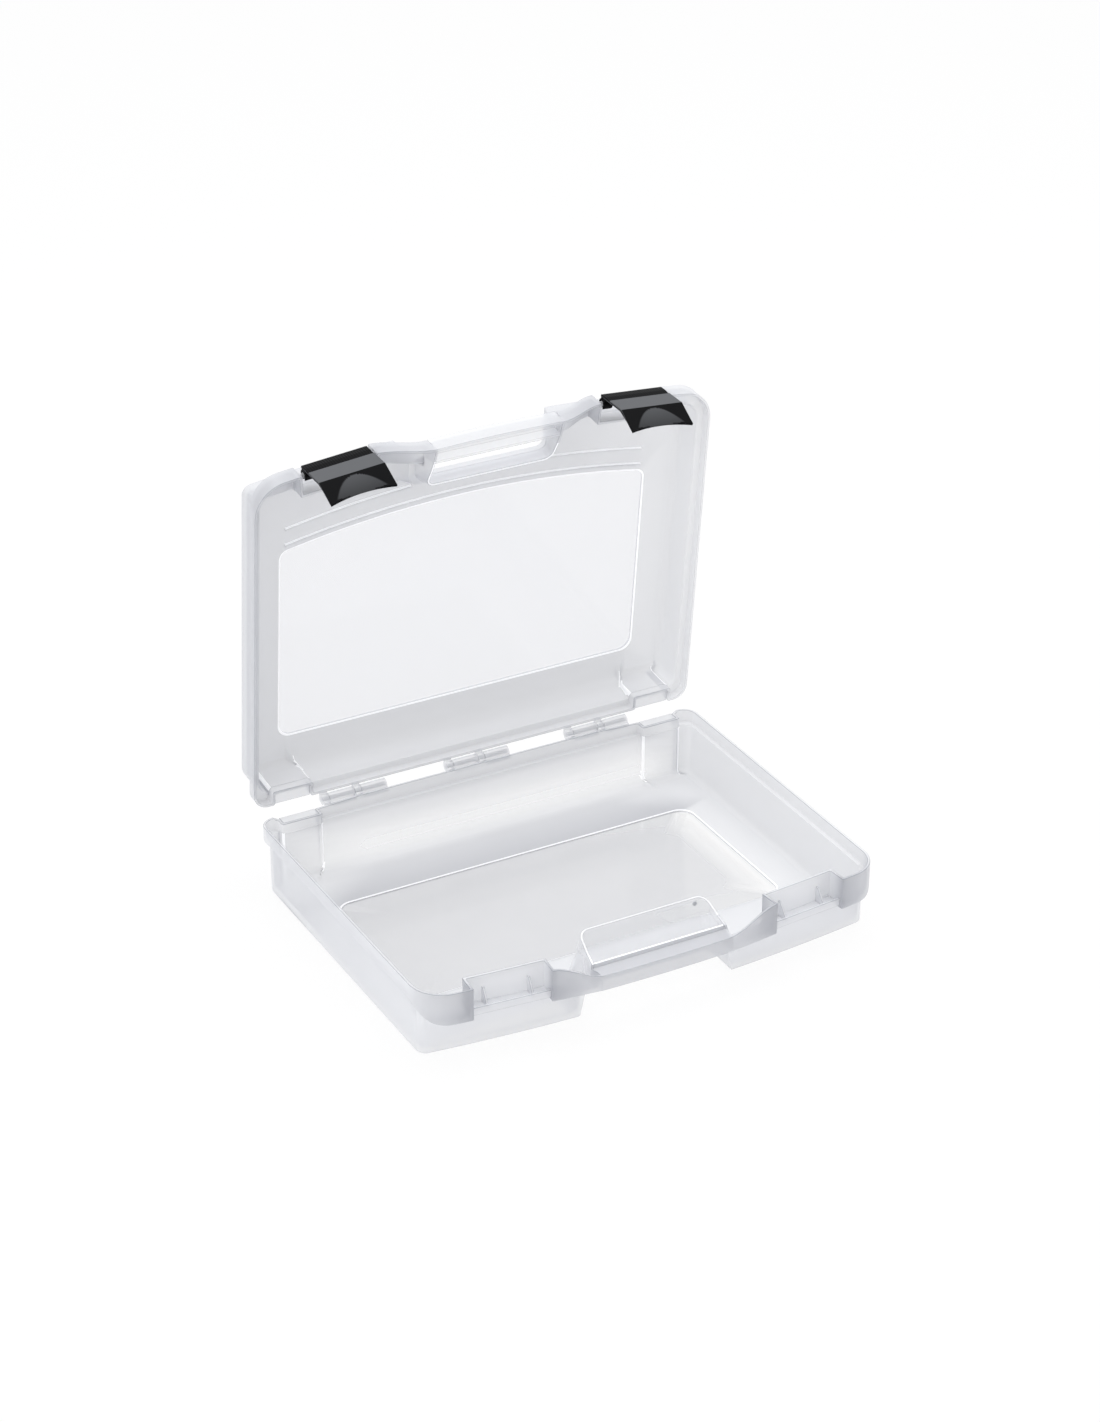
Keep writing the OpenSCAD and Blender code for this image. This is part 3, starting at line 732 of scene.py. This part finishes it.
def plastic(name, look):
    m = bpy.data.materials.new(name)
    m.use_nodes = True
    n, l = m.node_tree.nodes, m.node_tree.links
    b = n["Principled BSDF"]
    b.inputs["Roughness"].default_value = look["roughness"]
    b.inputs["IOR"].default_value = look["ior"]
    b.inputs["Specular IOR Level"].default_value = look["specular"]
    if "glow" in look:    # painted glow: these edges glow as painted highlights
        b.inputs["Emission Color"].default_value = (1, 1, 1, 1)
        b.inputs["Emission Strength"].default_value = look["glow"]
    grain = n.new("ShaderNodeGroup")
    grain.node_tree = grainGroup
    grain.inputs["Scale"].default_value = look["grainScale"]
    grain.inputs["Cloud"].default_value = look["cloud"]
    colour = blendColour(n, l, grain.outputs["Tone"], look["colour"], look["cloudColour"])
    bump = n.new("ShaderNodeBump")
    bump.inputs["Strength"].default_value = look["bump"]
    bump.inputs["Distance"].default_value = look["bumpDepth"] * mm
    l.new(grain.outputs["Height"], bump.inputs["Height"])
    l.new(bump.outputs["Normal"], b.inputs["Normal"])
    shade = n.new("ShaderNodeAttribute")
    shade.attribute_name = "shade"
    if "satinSheenColour" in look:    # satin stretches of the black latches: duller as a rougher finish, lighter as painted sheen
        colour = blendColour(n, l, shade.outputs["Fac"], colour, look["satinSheenColour"])
        dull = curve(n, l, shade.outputs["Fac"], look["roughness"], look["satinRoughness"], 1.0)
        l.new(dull, b.inputs["Roughness"])
    if look["alpha"][1] < 1.0:    # only outer faces show, so each wall counts once
        rimLight = n.new("ShaderNodeLayerWeight")
        rimLight.inputs["Blend"].default_value = look["rimBlend"]
        facing = rimLight.outputs["Facing"]
        grazing = curve(n, l, facing, 0.0, 1.0, look["rimPower"])
        colour = blendColour(n, l, grazing, colour, look["rimColour"])
        colour = blendColour(n, l, shade.outputs["Fac"], colour, look["shadeColour"])
        alpha = n.new("ShaderNodeMath")
        alpha.operation = "MULTIPLY_ADD"
        alpha.use_clamp = True
        l.new(shade.outputs["Fac"], alpha.inputs[0])
        alpha.inputs[1].default_value = look["shadeAlpha"]
        l.new(curve(n, l, facing, look["alpha"][0], look["alpha"][1], look["rimPower"]), alpha.inputs[2])
        outer = outerOnly(n, l, alpha.outputs[0])
        l.new(outer, b.inputs["Alpha"])
    l.new(colour, b.inputs["Base Color"])
    return m


def addGloss(m, look):    # mirror reflection on top of a clear panel
    n, l = m.node_tree.nodes, m.node_tree.links
    gloss = n.new("ShaderNodeBsdfGlossy")
    gloss.inputs["Roughness"].default_value = look["glossRoughness"]
    fresnel = n.new("ShaderNodeFresnel")
    fresnel.inputs["IOR"].default_value = look["glossIor"]
    mix = n.new("ShaderNodeMixShader")
    l.new(outerOnly(n, l, fresnel.outputs["Fac"]), mix.inputs["Fac"])
    l.new(n["Principled BSDF"].outputs[0], mix.inputs[1])
    l.new(gloss.outputs[0], mix.inputs[2])
    l.new(mix.outputs[0], n["Material Output"].inputs["Surface"])


frostedLook = {
    "colour": (0.82, 0.83, 0.86),
    "cloudColour": (0.76, 0.77, 0.81),
    "cloud": 0.5,
    "roughness": 0.28,
    "ior": 1.49,
    "specular": 0.5,
    "alpha": (0.60, 0.95),            # seen straight on, and at a grazing angle
    "rimBlend": 0.5,
    "rimPower": 3.0,
    "rimColour": (0.56, 0.58, 0.63),
    "shadeColour": (0.42, 0.43, 0.47),
    "shadeAlpha": 0.28,
    "grainScale": 900.0,
    "bump": 0.15,
    "bumpDepth": 0.05,
}
edgeLook = dict(frostedLook, colour=(0.44, 0.46, 0.50), cloudColour=(0.38, 0.40, 0.44), alpha=(0.75, 0.95),
                rimColour=(0.36, 0.38, 0.42), shadeColour=(0.30, 0.32, 0.36), roughness=0.22)
# painted light: a lighter copy of the edge material for the lid's edges
lidEdgeLook = dict(edgeLook, colour=(0.60, 0.62, 0.66), cloudColour=(0.55, 0.57, 0.61), alpha=(0.6, 0.9))
# painted highlights: a near-white colour with a faint glow for lit edges
paintedHighlightLook = dict(frostedLook, colour=(0.95, 0.96, 0.98), cloudColour=(0.92, 0.93, 0.96), alpha=(0.75, 0.9),
                  rimColour=(0.86, 0.87, 0.9), roughness=0.18, glow=0.3)
floorLook = dict(frostedLook, colour=(0.50, 0.51, 0.54), cloudColour=(0.44, 0.45, 0.49), alpha=(0.48, 0.68),
                 roughness=0.12, grainScale=260.0, bump=0.03, glossRoughness=0.05, glossIor=1.7)
windowLook = dict(floorLook, colour=(0.68, 0.70, 0.80), cloudColour=(0.64, 0.66, 0.76), alpha=(0.27, 0.5),
                  glossIor=1.4)
blackLook = {
    "colour": (0.004, 0.004, 0.0045),
    "cloudColour": (0.007, 0.007, 0.008),
    "cloud": 0.5,
    "roughness": 0.3,
    "ior": 1.49,
    "specular": 0.02,
    "alpha": (1.0, 1.0),
    "grainScale": 1600.0,
    "bump": 0.4,
    "bumpDepth": 0.08,
    "satinSheenColour": (0.15, 0.155, 0.165),
    "satinRoughness": 0.6,
}

frosted = plastic("frostedPlastic", frostedLook)
edge = plastic("frostedEdge", edgeLook)
lidEdge = plastic("frostedLidEdge", lidEdgeLook)
# painted highlight material for lit edges and rims
bright = plastic("frostedPaintedHighlight", paintedHighlightLook)
floorClear = plastic("clearFloor", floorLook)
addGloss(floorClear, floorLook)
windowClear = plastic("clearWindow", windowLook)
addGloss(windowClear, windowLook)
black = plastic("blackPlastic", blackLook)
print("materials ready")


tray = makeShell("trayShell", trayShell, floorShape, asBase, "base", [frosted, edge, bright],
                 ("base_floor", "base_tray", "base_rim", "base_left_skirt", "base_right_skirt"))
floorPanel = makePanel("floorPanel", floorShape, 0.0, 1.6, asBase, "base", floorClear,
                       ("base_floor_panel",))
lid = makeShell("lidShell", lidShell, windowShape, asLid, "lid", [frosted, lidEdge, bright],
                ("lid_panel", "lid_shell", "lid_rim", "lid_left_skirt", "lid_right_skirt"))
window = makePanel("lidWindow", windowShape, 20.4, 1.2, asLid, "lid", windowClear, ("lid_window",))
makeBeads()
print("shells ready")


def barShade(p):    # painted shade on the front face and the front of the ridge
    c = case
    onFront = p[1] < arcAt(c["frontRadius"], p[0]) + 0.1
    onRidge = p[1] < c["barBack"] - c["wall"] / 2 and p[2] > c["partingZ"] - c["barDip"] - 1
    return paintedLightAndShade["barFront"] if onFront or onRidge else 0.0


# painted light: the lid's handle bar clearer and lighter
def lidBarShade(p):
    return paintedLightAndShade["lidBar"]


handleShape = {
    "reach": 53.2,
    "steps": 32,
    "low": 28.0,
    "ridge": 43.0,
    "ridgeRound": 2.0,
    "lidReach": 51.6,
    "lidRidge": 66.0,
    "lidBarHeight": 16.0,
    "edge": 0.35,
    "mark": (43.0, -106.5, 50.5),    # small moulding mark in the corner of the hand opening
    "markRadius": 1.7,
    "markRings": ((1.0, -0.5), (1.0, 0.5), (0.7, 0.7), (0.55, 0.3)),
}


def barStations():    # places across the tray's handle, closer together where the ridge rounds off
    h = handleShape
    straight = h["reach"] - h["ridgeRound"]
    ends = [h["reach"] - h["ridgeRound"] * (1 - math.sin(math.radians(a))) for a in (0, 20, 40, 60, 75)]
    ends.append(h["reach"])
    inner = [straight * (2 * i / h["steps"] - 1) for i in range(1, h["steps"])]
    return [-x for x in reversed(ends)] + inner + ends


def makeTrayHandle():
    c, w, h = case, case["wall"], handleShape
    low, ridge, r, back = h["low"], h["ridge"], h["ridgeRound"], c["barBack"]
    sections = []
    for x in barStations():
        yf, top = arcAt(c["frontRadius"], x), partZ(x)
        over = max(0.0, abs(x) - h["reach"] + r)
        ridgeY = min(back - 0.2, back - w + r - math.sqrt(max(0.0, r * r - over * over)))
        sections.append([(x, yf, low), (x, yf, top - 0.3), (x, yf + 0.3, top), (x, ridgeY, top),
                         (x, ridgeY, ridge), (x, back, ridge), (x, back, low), (x, back - w, low),
                         (x, back - w, top - w), (x, yf + w, top - w), (x, yf + w, low)])
    # the top of the ridge takes the painted highlight material
    o = sweep("trayHandleBar", sections, asBase, "base", [frosted, edge, bright], ("base_handle",),
              h["edge"], barShade, highlightRow=4)
    (mx, my, mz), r = h["mark"], h["markRadius"]
    ring = [2 * math.pi * i / 20 for i in range(20)]
    rounds = [[(mx + k * r * math.cos(a), my - d, mz + k * r * math.sin(a)) for a in ring]
              for k, d in h["markRings"]]
    sweep("handOpeningMark", rounds, asBase, "base", [edge], (), 0)


def makeLidHandle():    # drawn upside down like the lid's shell
    c, w, h = case, case["wall"], handleShape
    back, ridge = c["barBack"], h["lidRidge"]
    sections = []
    for i in range(h["steps"] + 1):
        x = h["lidReach"] * (2 * i / h["steps"] - 1)
        yf, top = arcAt(c["frontRadius"], x), lidEdgeZ(x)
        under = 2 * c["partingZ"] - partZ(x) - h["lidBarHeight"]
        sections.append([(x, yf, under), (x, back, under), (x, back, ridge), (x, back - w, ridge),
                         (x, back - w, under + w), (x, yf + w, under + w), (x, yf + w, top), (x, yf, top)])
    o = sweep("lidHandleBar", sections, asLid, "lid", [frosted, lidEdge], ("lid_handle",), h["edge"],
              lidBarShade)


def blockCaps(name, place, body, lowIn):    # closed tops of the rear corner blocks
    c, w, gap = case, case["wall"], 0.04
    z1 = c["partingZ"] - c["blockLow"]
    y0 = c["rearY"] - lowIn - c["blockDepth"] + gap
    for side in (-1, 1):
        xs = (side * (c["blockIn"] + gap), side * (c["blockOut"] - gap))
        profile = ((y0, z1 - w), (c["rearY"], z1 - w), (c["rearY"], z1), (y0, z1))
        o = sweep(name + ("Left" if side < 0 else "Right"), extrude(profile, xs), place, body,
                  [frosted, edge], (), 0.3)


makeTrayHandle()
makeLidHandle()
blockCaps("trayBlockTop", asBase, "base", trayShell["lowIn"])
blockCaps("lidBlockTop", asLid, "lid", lidShell["lowIn"])
print("handles ready")


latchX = 120.0    # distance of each latch from the middle
tilt = math.asin(latchX / case["frontRadius"])
faceY = arcAt(case["frontRadius"], latchX)

pocketShape = {
    "shelf": ((3, 32), (3, 38), (5, 38), (5, 34), (15.4, 34), (15.4, 32)),
    "half": 29.2,
    "rib": ((5, 34), (15.4, 34), (15.4, 46), (13, 46)),
    "ribAt": 17.0,
    "ribHalf": 0.8,
}


def facePlace(side):    # the front's bow at a latch
    return Matrix.Translation((side * latchX, faceY, 0)) @ Matrix.Rotation(side * tilt, 4, "Z")


def pocketPlace(side, place):
    turn = facePlace(side)
    return lambda p: place(turn @ Vector(p))


def makePocket(side, word):
    k = pocketShape
    put = pocketPlace(side, asBase)
    shelf = sweep(word + "CatchShelf", extrude(k["shelf"], (-k["half"], k["half"])), put, "base",
                  [frosted, edge], (word + "_catch_pocket",), 0.35)
    for n, x in enumerate((-k["ribAt"], k["ribAt"])):
        o = sweep(word + "CatchRib" + str(n), extrude(k["rib"], (x - k["ribHalf"], x + k["ribHalf"])), put,
                  "base", [frosted, edge], (), 0.25)


makePocket(-1, "left")
makePocket(1, "right")
print("pockets ready")


# a latch in its own frame: its bar's axis at y 0, z 0, the outer face towards -y, the tip down
latch = {
    "half": 25.5,
    "pivotIn": 4.0,
    "pivotZ": 62.0,
    "rest": 4.0,
    "outer": -6.8,
    "inner": -4.6,
    "top": 1.6,
    "crease": -28.0,          # below it the thumb panel leans inward
    "tip": -45.0,
    "tipOuter": 2.0,
    "tipInner": 4.4,
    "bow": 120.0,             # radius of the tip's edge
    "bowBelow": 118.0,
    "columns": 158,
    "sideIn": 0.3,
    "heights": (1.6, 0.4, -1.6, -3.4, -4.6, -4.7, -6.6, -8.6, -10.45, -10.55, -10.9, -14.0, -18.0, -22.0,
                -25.0, -27.0, -27.75, -27.85, -28.0),
    "ribPitch": 2.0,          # fine ribs on the strip along the top
    "ribDepth": 0.16,
    "stripEnd": -4.6,
    "bandTop": -10.5,
    "grooveIn": 0.8,
    "scoopTop": -29.6,        # thumb scoop
    "scoopLow": -43.4,
    "scoopHalf": 20.0,
    "scoopDepth": 1.3,
    # satin finish with painted sheen: each value makes the face rougher and lighter
    "satinSheenStrip": 0.05,
    "satinSheenGroove": 0.03,
    "satinSheenBand": 0.85,
    # painted reflection: the scoop lighter at its top than lower down
    "satinSheenScoop": (0.62, 0.3),
    "satinSheenPanel": 0.02,
    "hookOuter": 4.2,
    "hookInner": 2.06,
    "hookMouth": 1.6,
    "hookWidth": 7.0,
    "hookInset": 0.1,
    "arm": ((-4.6, -4.0), (-3.0, -4.0), (-3.4, 2.0), (-4.6, 2.2)),
    "tooth": ((-4.3, -30.4), (0.4, -30.4), (0.4, -32.0), (-2.6, -32.8)),
    "toothHalf": 19.4,
    "sideRib": ((-4.4, -26.0), (-3.4, -30.0), (2.2, -40.5), (2.6, -42.0), (-0.2, -37.0)),
    "sideRibInset": 0.4,
    "sideRibWidth": 1.5,
    "edge": 0.2,
}


def latchPlace(side):
    turn = (facePlace(side) @ Matrix.Translation((0, latch["pivotIn"], latch["pivotZ"]))
            @ Matrix.Rotation(-math.radians(latch["rest"]), 4, "X"))
    return lambda p: toLid(turn @ Vector(p))


def scoopPart(u, z):    # 0 outside the thumb scoop, 1 on its middle line; and how far down it lies
    k = latch
    down = clamp((k["scoopTop"] - z) / (k["scoopTop"] - k["scoopLow"]))
    reach = k["scoopHalf"] * math.sqrt(down)
    if z > k["scoopTop"] or z < k["scoopLow"] or abs(u) >= reach:
        return 0.0, down
    return 1 - (u / reach) ** 2, down


def latchRelief(u, z):    # how far the outer face lies inside its flat place
    k = latch
    d = 0.0
    if z > k["bandTop"]:
        d = k["ribDepth"] * (0.5 + 0.5 * math.cos(2 * math.pi * u / k["ribPitch"]))
        d += k["grooveIn"] * clamp((k["stripEnd"] - z) / (k["stripEnd"] - k["bandTop"]))
    middle, down = scoopPart(u, z)
    return d + k["scoopDepth"] * math.sqrt(middle) * lerp(0.25, 1.0, down)


def latchShade(p):    # satin stretches of the outer face: a rougher finish, and lighter as painted sheen
    k = latch
    u, y, z = p
    if z > k["bandTop"]:
        return k["satinSheenStrip"] if z > k["stripEnd"] else k["satinSheenGroove"]
    if z > k["crease"] + 0.2:
        return k["satinSheenBand"]
    middle, down = scoopPart(u, z)
    return clamp(middle * 8) * lerp(*k["satinSheenScoop"], down) if middle > 0 else k["satinSheenPanel"]


def latchColumn(u, shrink):    # outline of the latch's plate across its thickness at one place
    k = latch
    zLow = k["tip"] - k["bowBelow"] + math.sqrt(k["bow"] ** 2 - u * u)
    drop = k["crease"] - k["tip"]
    outer = [(k["outer"] + shrink + latchRelief(u, z), z) for z in k["heights"]]
    for i in range(1, 25):
        z = lerp(k["crease"], zLow, i / 24)
        y = lerp(k["outer"], k["tipOuter"], (k["crease"] - z) / drop)
        outer.append((y + shrink + latchRelief(u, z), z))
    bend = k["crease"] - 0.6
    inner = []
    for i in range(8, -1, -1):
        z = lerp(bend, zLow + 0.4, i / 8)
        inner.append((k["inner"] - shrink + (k["tipInner"] - k["inner"]) / drop * (bend - z), z))
    inner += [(k["inner"] - shrink, -14.0), (k["inner"] - shrink, k["top"] + 0.9 - shrink)]
    rim = [(k["outer"] + 0.5 + shrink, k["top"] + 1.0 - shrink)]
    return [(u, y, z) for y, z in outer + inner + rim]


def hookLoop():    # a ring open at the rear
    k = latch
    out, into = math.asin(k["hookMouth"] / k["hookOuter"]), math.asin(k["hookMouth"] / k["hookInner"])
    outer = arcPoints((0, 0), k["hookOuter"], out, 2 * math.pi - out, 28)
    return outer + arcPoints((0, 0), k["hookInner"], 2 * math.pi - into, into, 20)


def makeLatch(side, word):
    k = latch
    put, body = latchPlace(side), word + "_latch"
    inside = k["half"] - k["sideIn"]
    us = [-inside + 2 * inside * i / k["columns"] for i in range(k["columns"] + 1)]
    sections = [latchColumn(u, 0.0) for u in us]
    sections.insert(0, latchColumn(-k["half"], k["sideIn"]))
    sections.append(latchColumn(k["half"], k["sideIn"]))
    plate = sweep(word + "LatchPlate", sections, put, body, [black], (body,), 0, latchShade)

    def add(name, profile, x0, x1, rounding):
        o = sweep(word + name, extrude(profile, (x0, x1)), put, body, [black], (), rounding)

    for n, x in enumerate((-k["half"] + k["hookInset"], k["half"] - k["hookWidth"] - k["hookInset"])):
        add("LatchHook" + str(n), hookLoop(), x, x + k["hookWidth"], 0)
        add("LatchArm" + str(n), k["arm"], x, x + k["hookWidth"], k["edge"])
    add("LatchTooth", k["tooth"], -k["toothHalf"], k["toothHalf"], k["edge"])
    ribOut = k["half"] - k["sideRibInset"]
    for n, x in enumerate((-ribOut, ribOut - k["sideRibWidth"])):    # side ribs under the thumb panel
        add("LatchRib" + str(n), k["sideRib"], x, x + k["sideRibWidth"], k["edge"])


barShape = {"radius": 2.0, "half": 30.0, "sides": 24}    # the round bars that the latches snap onto


def makeLatchBar(side, word):
    k, r = barShape, barShape["radius"]
    ring = [2 * math.pi * i / k["sides"] for i in range(k["sides"])]
    rod = [(latch["pivotIn"] + r * math.cos(a), latch["pivotZ"] + r * math.sin(a)) for a in ring]
    bar = sweep(word + "LatchBar", extrude(rod, (-k["half"], k["half"])), pocketPlace(side, toLid), "lid",
                [frosted, lidEdge], (word + "_latch_seat",), 0)


makeLatch(-1, "left")
makeLatch(1, "right")
makeLatchBar(-1, "left")
makeLatchBar(1, "right")
print("latches ready")

for name in nodes:
    o = nodes[name]
    dark = name in ("left_latch", "right_latch")
    o.data.materials.clear()
    o.data.materials.append(black if dark else frosted)
    o.data.set_sharp_from_angle(angle=math.radians(30))


stageLook = {"size": 14.0, "colour": (0.93, 0.93, 0.94), "white": 0.9}


def makeFloor():
    bm = bmesh.new()
    bmesh.ops.create_grid(bm, x_segments=1, y_segments=1, size=stageLook["size"] / 2)
    mesh = bpy.data.meshes.new("floor")
    bm.to_mesh(mesh)
    bm.free()
    floor = bpy.data.objects.new("floor", mesh)
    floor.location.z = -0.0003
    bpy.context.scene.collection.objects.link(floor)
    m = bpy.data.materials.new("paleFloor")
    m.use_nodes = True
    n, l = m.node_tree.nodes, m.node_tree.links
    b = n["Principled BSDF"]
    b.inputs["Base Color"].default_value = (*stageLook["colour"], 1)
    b.inputs["Roughness"].default_value = 0.9
    white = n.new("ShaderNodeEmission")
    white.inputs["Color"].default_value = (1, 1, 1, 1)
    path = n.new("ShaderNodeLightPath")
    seen = n.new("ShaderNodeMath")
    seen.operation = "MAXIMUM"
    l.new(path.outputs["Is Camera Ray"], seen.inputs[0])
    l.new(path.outputs["Is Glossy Ray"], seen.inputs[1])
    part = n.new("ShaderNodeMath")
    part.operation = "MULTIPLY"
    part.inputs[1].default_value = stageLook["white"]
    l.new(seen.outputs[0], part.inputs[0])
    mix = n.new("ShaderNodeMixShader")
    l.new(part.outputs[0], mix.inputs["Fac"])
    l.new(b.outputs[0], mix.inputs[1])
    l.new(white.outputs[0], mix.inputs[2])
    l.new(mix.outputs[0], n["Material Output"].inputs["Surface"])
    mesh.materials.append(m)


def areaLight(name, at, target, size, power):
    data = bpy.data.lights.new(name, "AREA")
    data.shape = "RECTANGLE"
    data.size, data.size_y = size
    data.energy = power
    o = bpy.data.objects.new(name, data)
    o.location = at
    o.rotation_euler = (Vector(target) - Vector(at)).to_track_quat("-Z", "Y").to_euler()
    bpy.context.scene.collection.objects.link(o)


lamps = {    # place, size and power; all point at the middle of the case
    "softAbove": ((0.3, 0.5, 2.3), (2.4, 1.6), 22.0),
    "softLeft": ((-2.2, -0.6, 1.5), (1.4, 1.4), 12.0),
    "softRight": ((2.0, -1.4, 1.6), (1.2, 1.2), 8.0),
}

makeFloor()
for name, (at, size, power) in lamps.items():
    areaLight(name, at, (0, 0, 0.1), size, power)

skyLook = {"toward": (0.2, 0.8, 0.56), "dark": 0.6, "bright": 1.05, "from": 0.1, "to": 1.0}


def makeSky():    # white to the camera, brighter from above and behind for the plastic
    world = bpy.data.worlds.new("studio")
    world.use_nodes = True
    n, l = world.node_tree.nodes, world.node_tree.links
    coord = n.new("ShaderNodeTexCoord")
    dot = n.new("ShaderNodeVectorMath")
    dot.operation = "DOT_PRODUCT"
    dot.inputs[1].default_value = Vector(skyLook["toward"]).normalized()
    l.new(coord.outputs["Generated"], dot.inputs[0])
    r = n.new("ShaderNodeMapRange")
    r.interpolation_type = "SMOOTHSTEP"
    r.inputs["From Min"].default_value = skyLook["from"]
    r.inputs["From Max"].default_value = skyLook["to"]
    r.inputs["To Min"].default_value = skyLook["dark"]
    r.inputs["To Max"].default_value = skyLook["bright"]
    l.new(dot.outputs["Value"], r.inputs["Value"])
    path = n.new("ShaderNodeLightPath")
    pick = n.new("ShaderNodeMix")
    l.new(path.outputs["Is Camera Ray"], pick.inputs["Factor"])
    l.new(r.outputs["Result"], pick.inputs["A"])
    pick.inputs["B"].default_value = 1.0
    l.new(pick.outputs["Result"], n["Background"].inputs["Strength"])
    n["Background"].inputs["Color"].default_value = (1, 1, 1, 1)
    bpy.context.scene.world = world


makeSky()

view = {"azimuth": 28.633, "elevation": 28.715, "distance": 2.6359, "target": (0.08086, 0.17730, 0.060),
        "focalPixels": 3387.2, "imageHeight": 1422.0, "sensor": 36.0}


def makeCamera():
    az, el = math.radians(view["azimuth"]), math.radians(view["elevation"])
    back = Vector((-math.sin(az) * math.cos(el), -math.cos(az) * math.cos(el), math.sin(el)))
    data = bpy.data.cameras.new("camera")
    data.sensor_width = view["sensor"]
    data.lens = view["focalPixels"] / view["imageHeight"] * view["sensor"]
    cam = bpy.data.objects.new("camera", data)
    cam.location = Vector(view["target"]) + back * view["distance"]
    cam.rotation_euler = (-back).to_track_quat("-Z", "Y").to_euler()
    bpy.context.scene.collection.objects.link(cam)
    bpy.context.scene.camera = cam


makeCamera()
bpy.context.scene.view_settings.view_transform = "Standard"
print("stage ready")
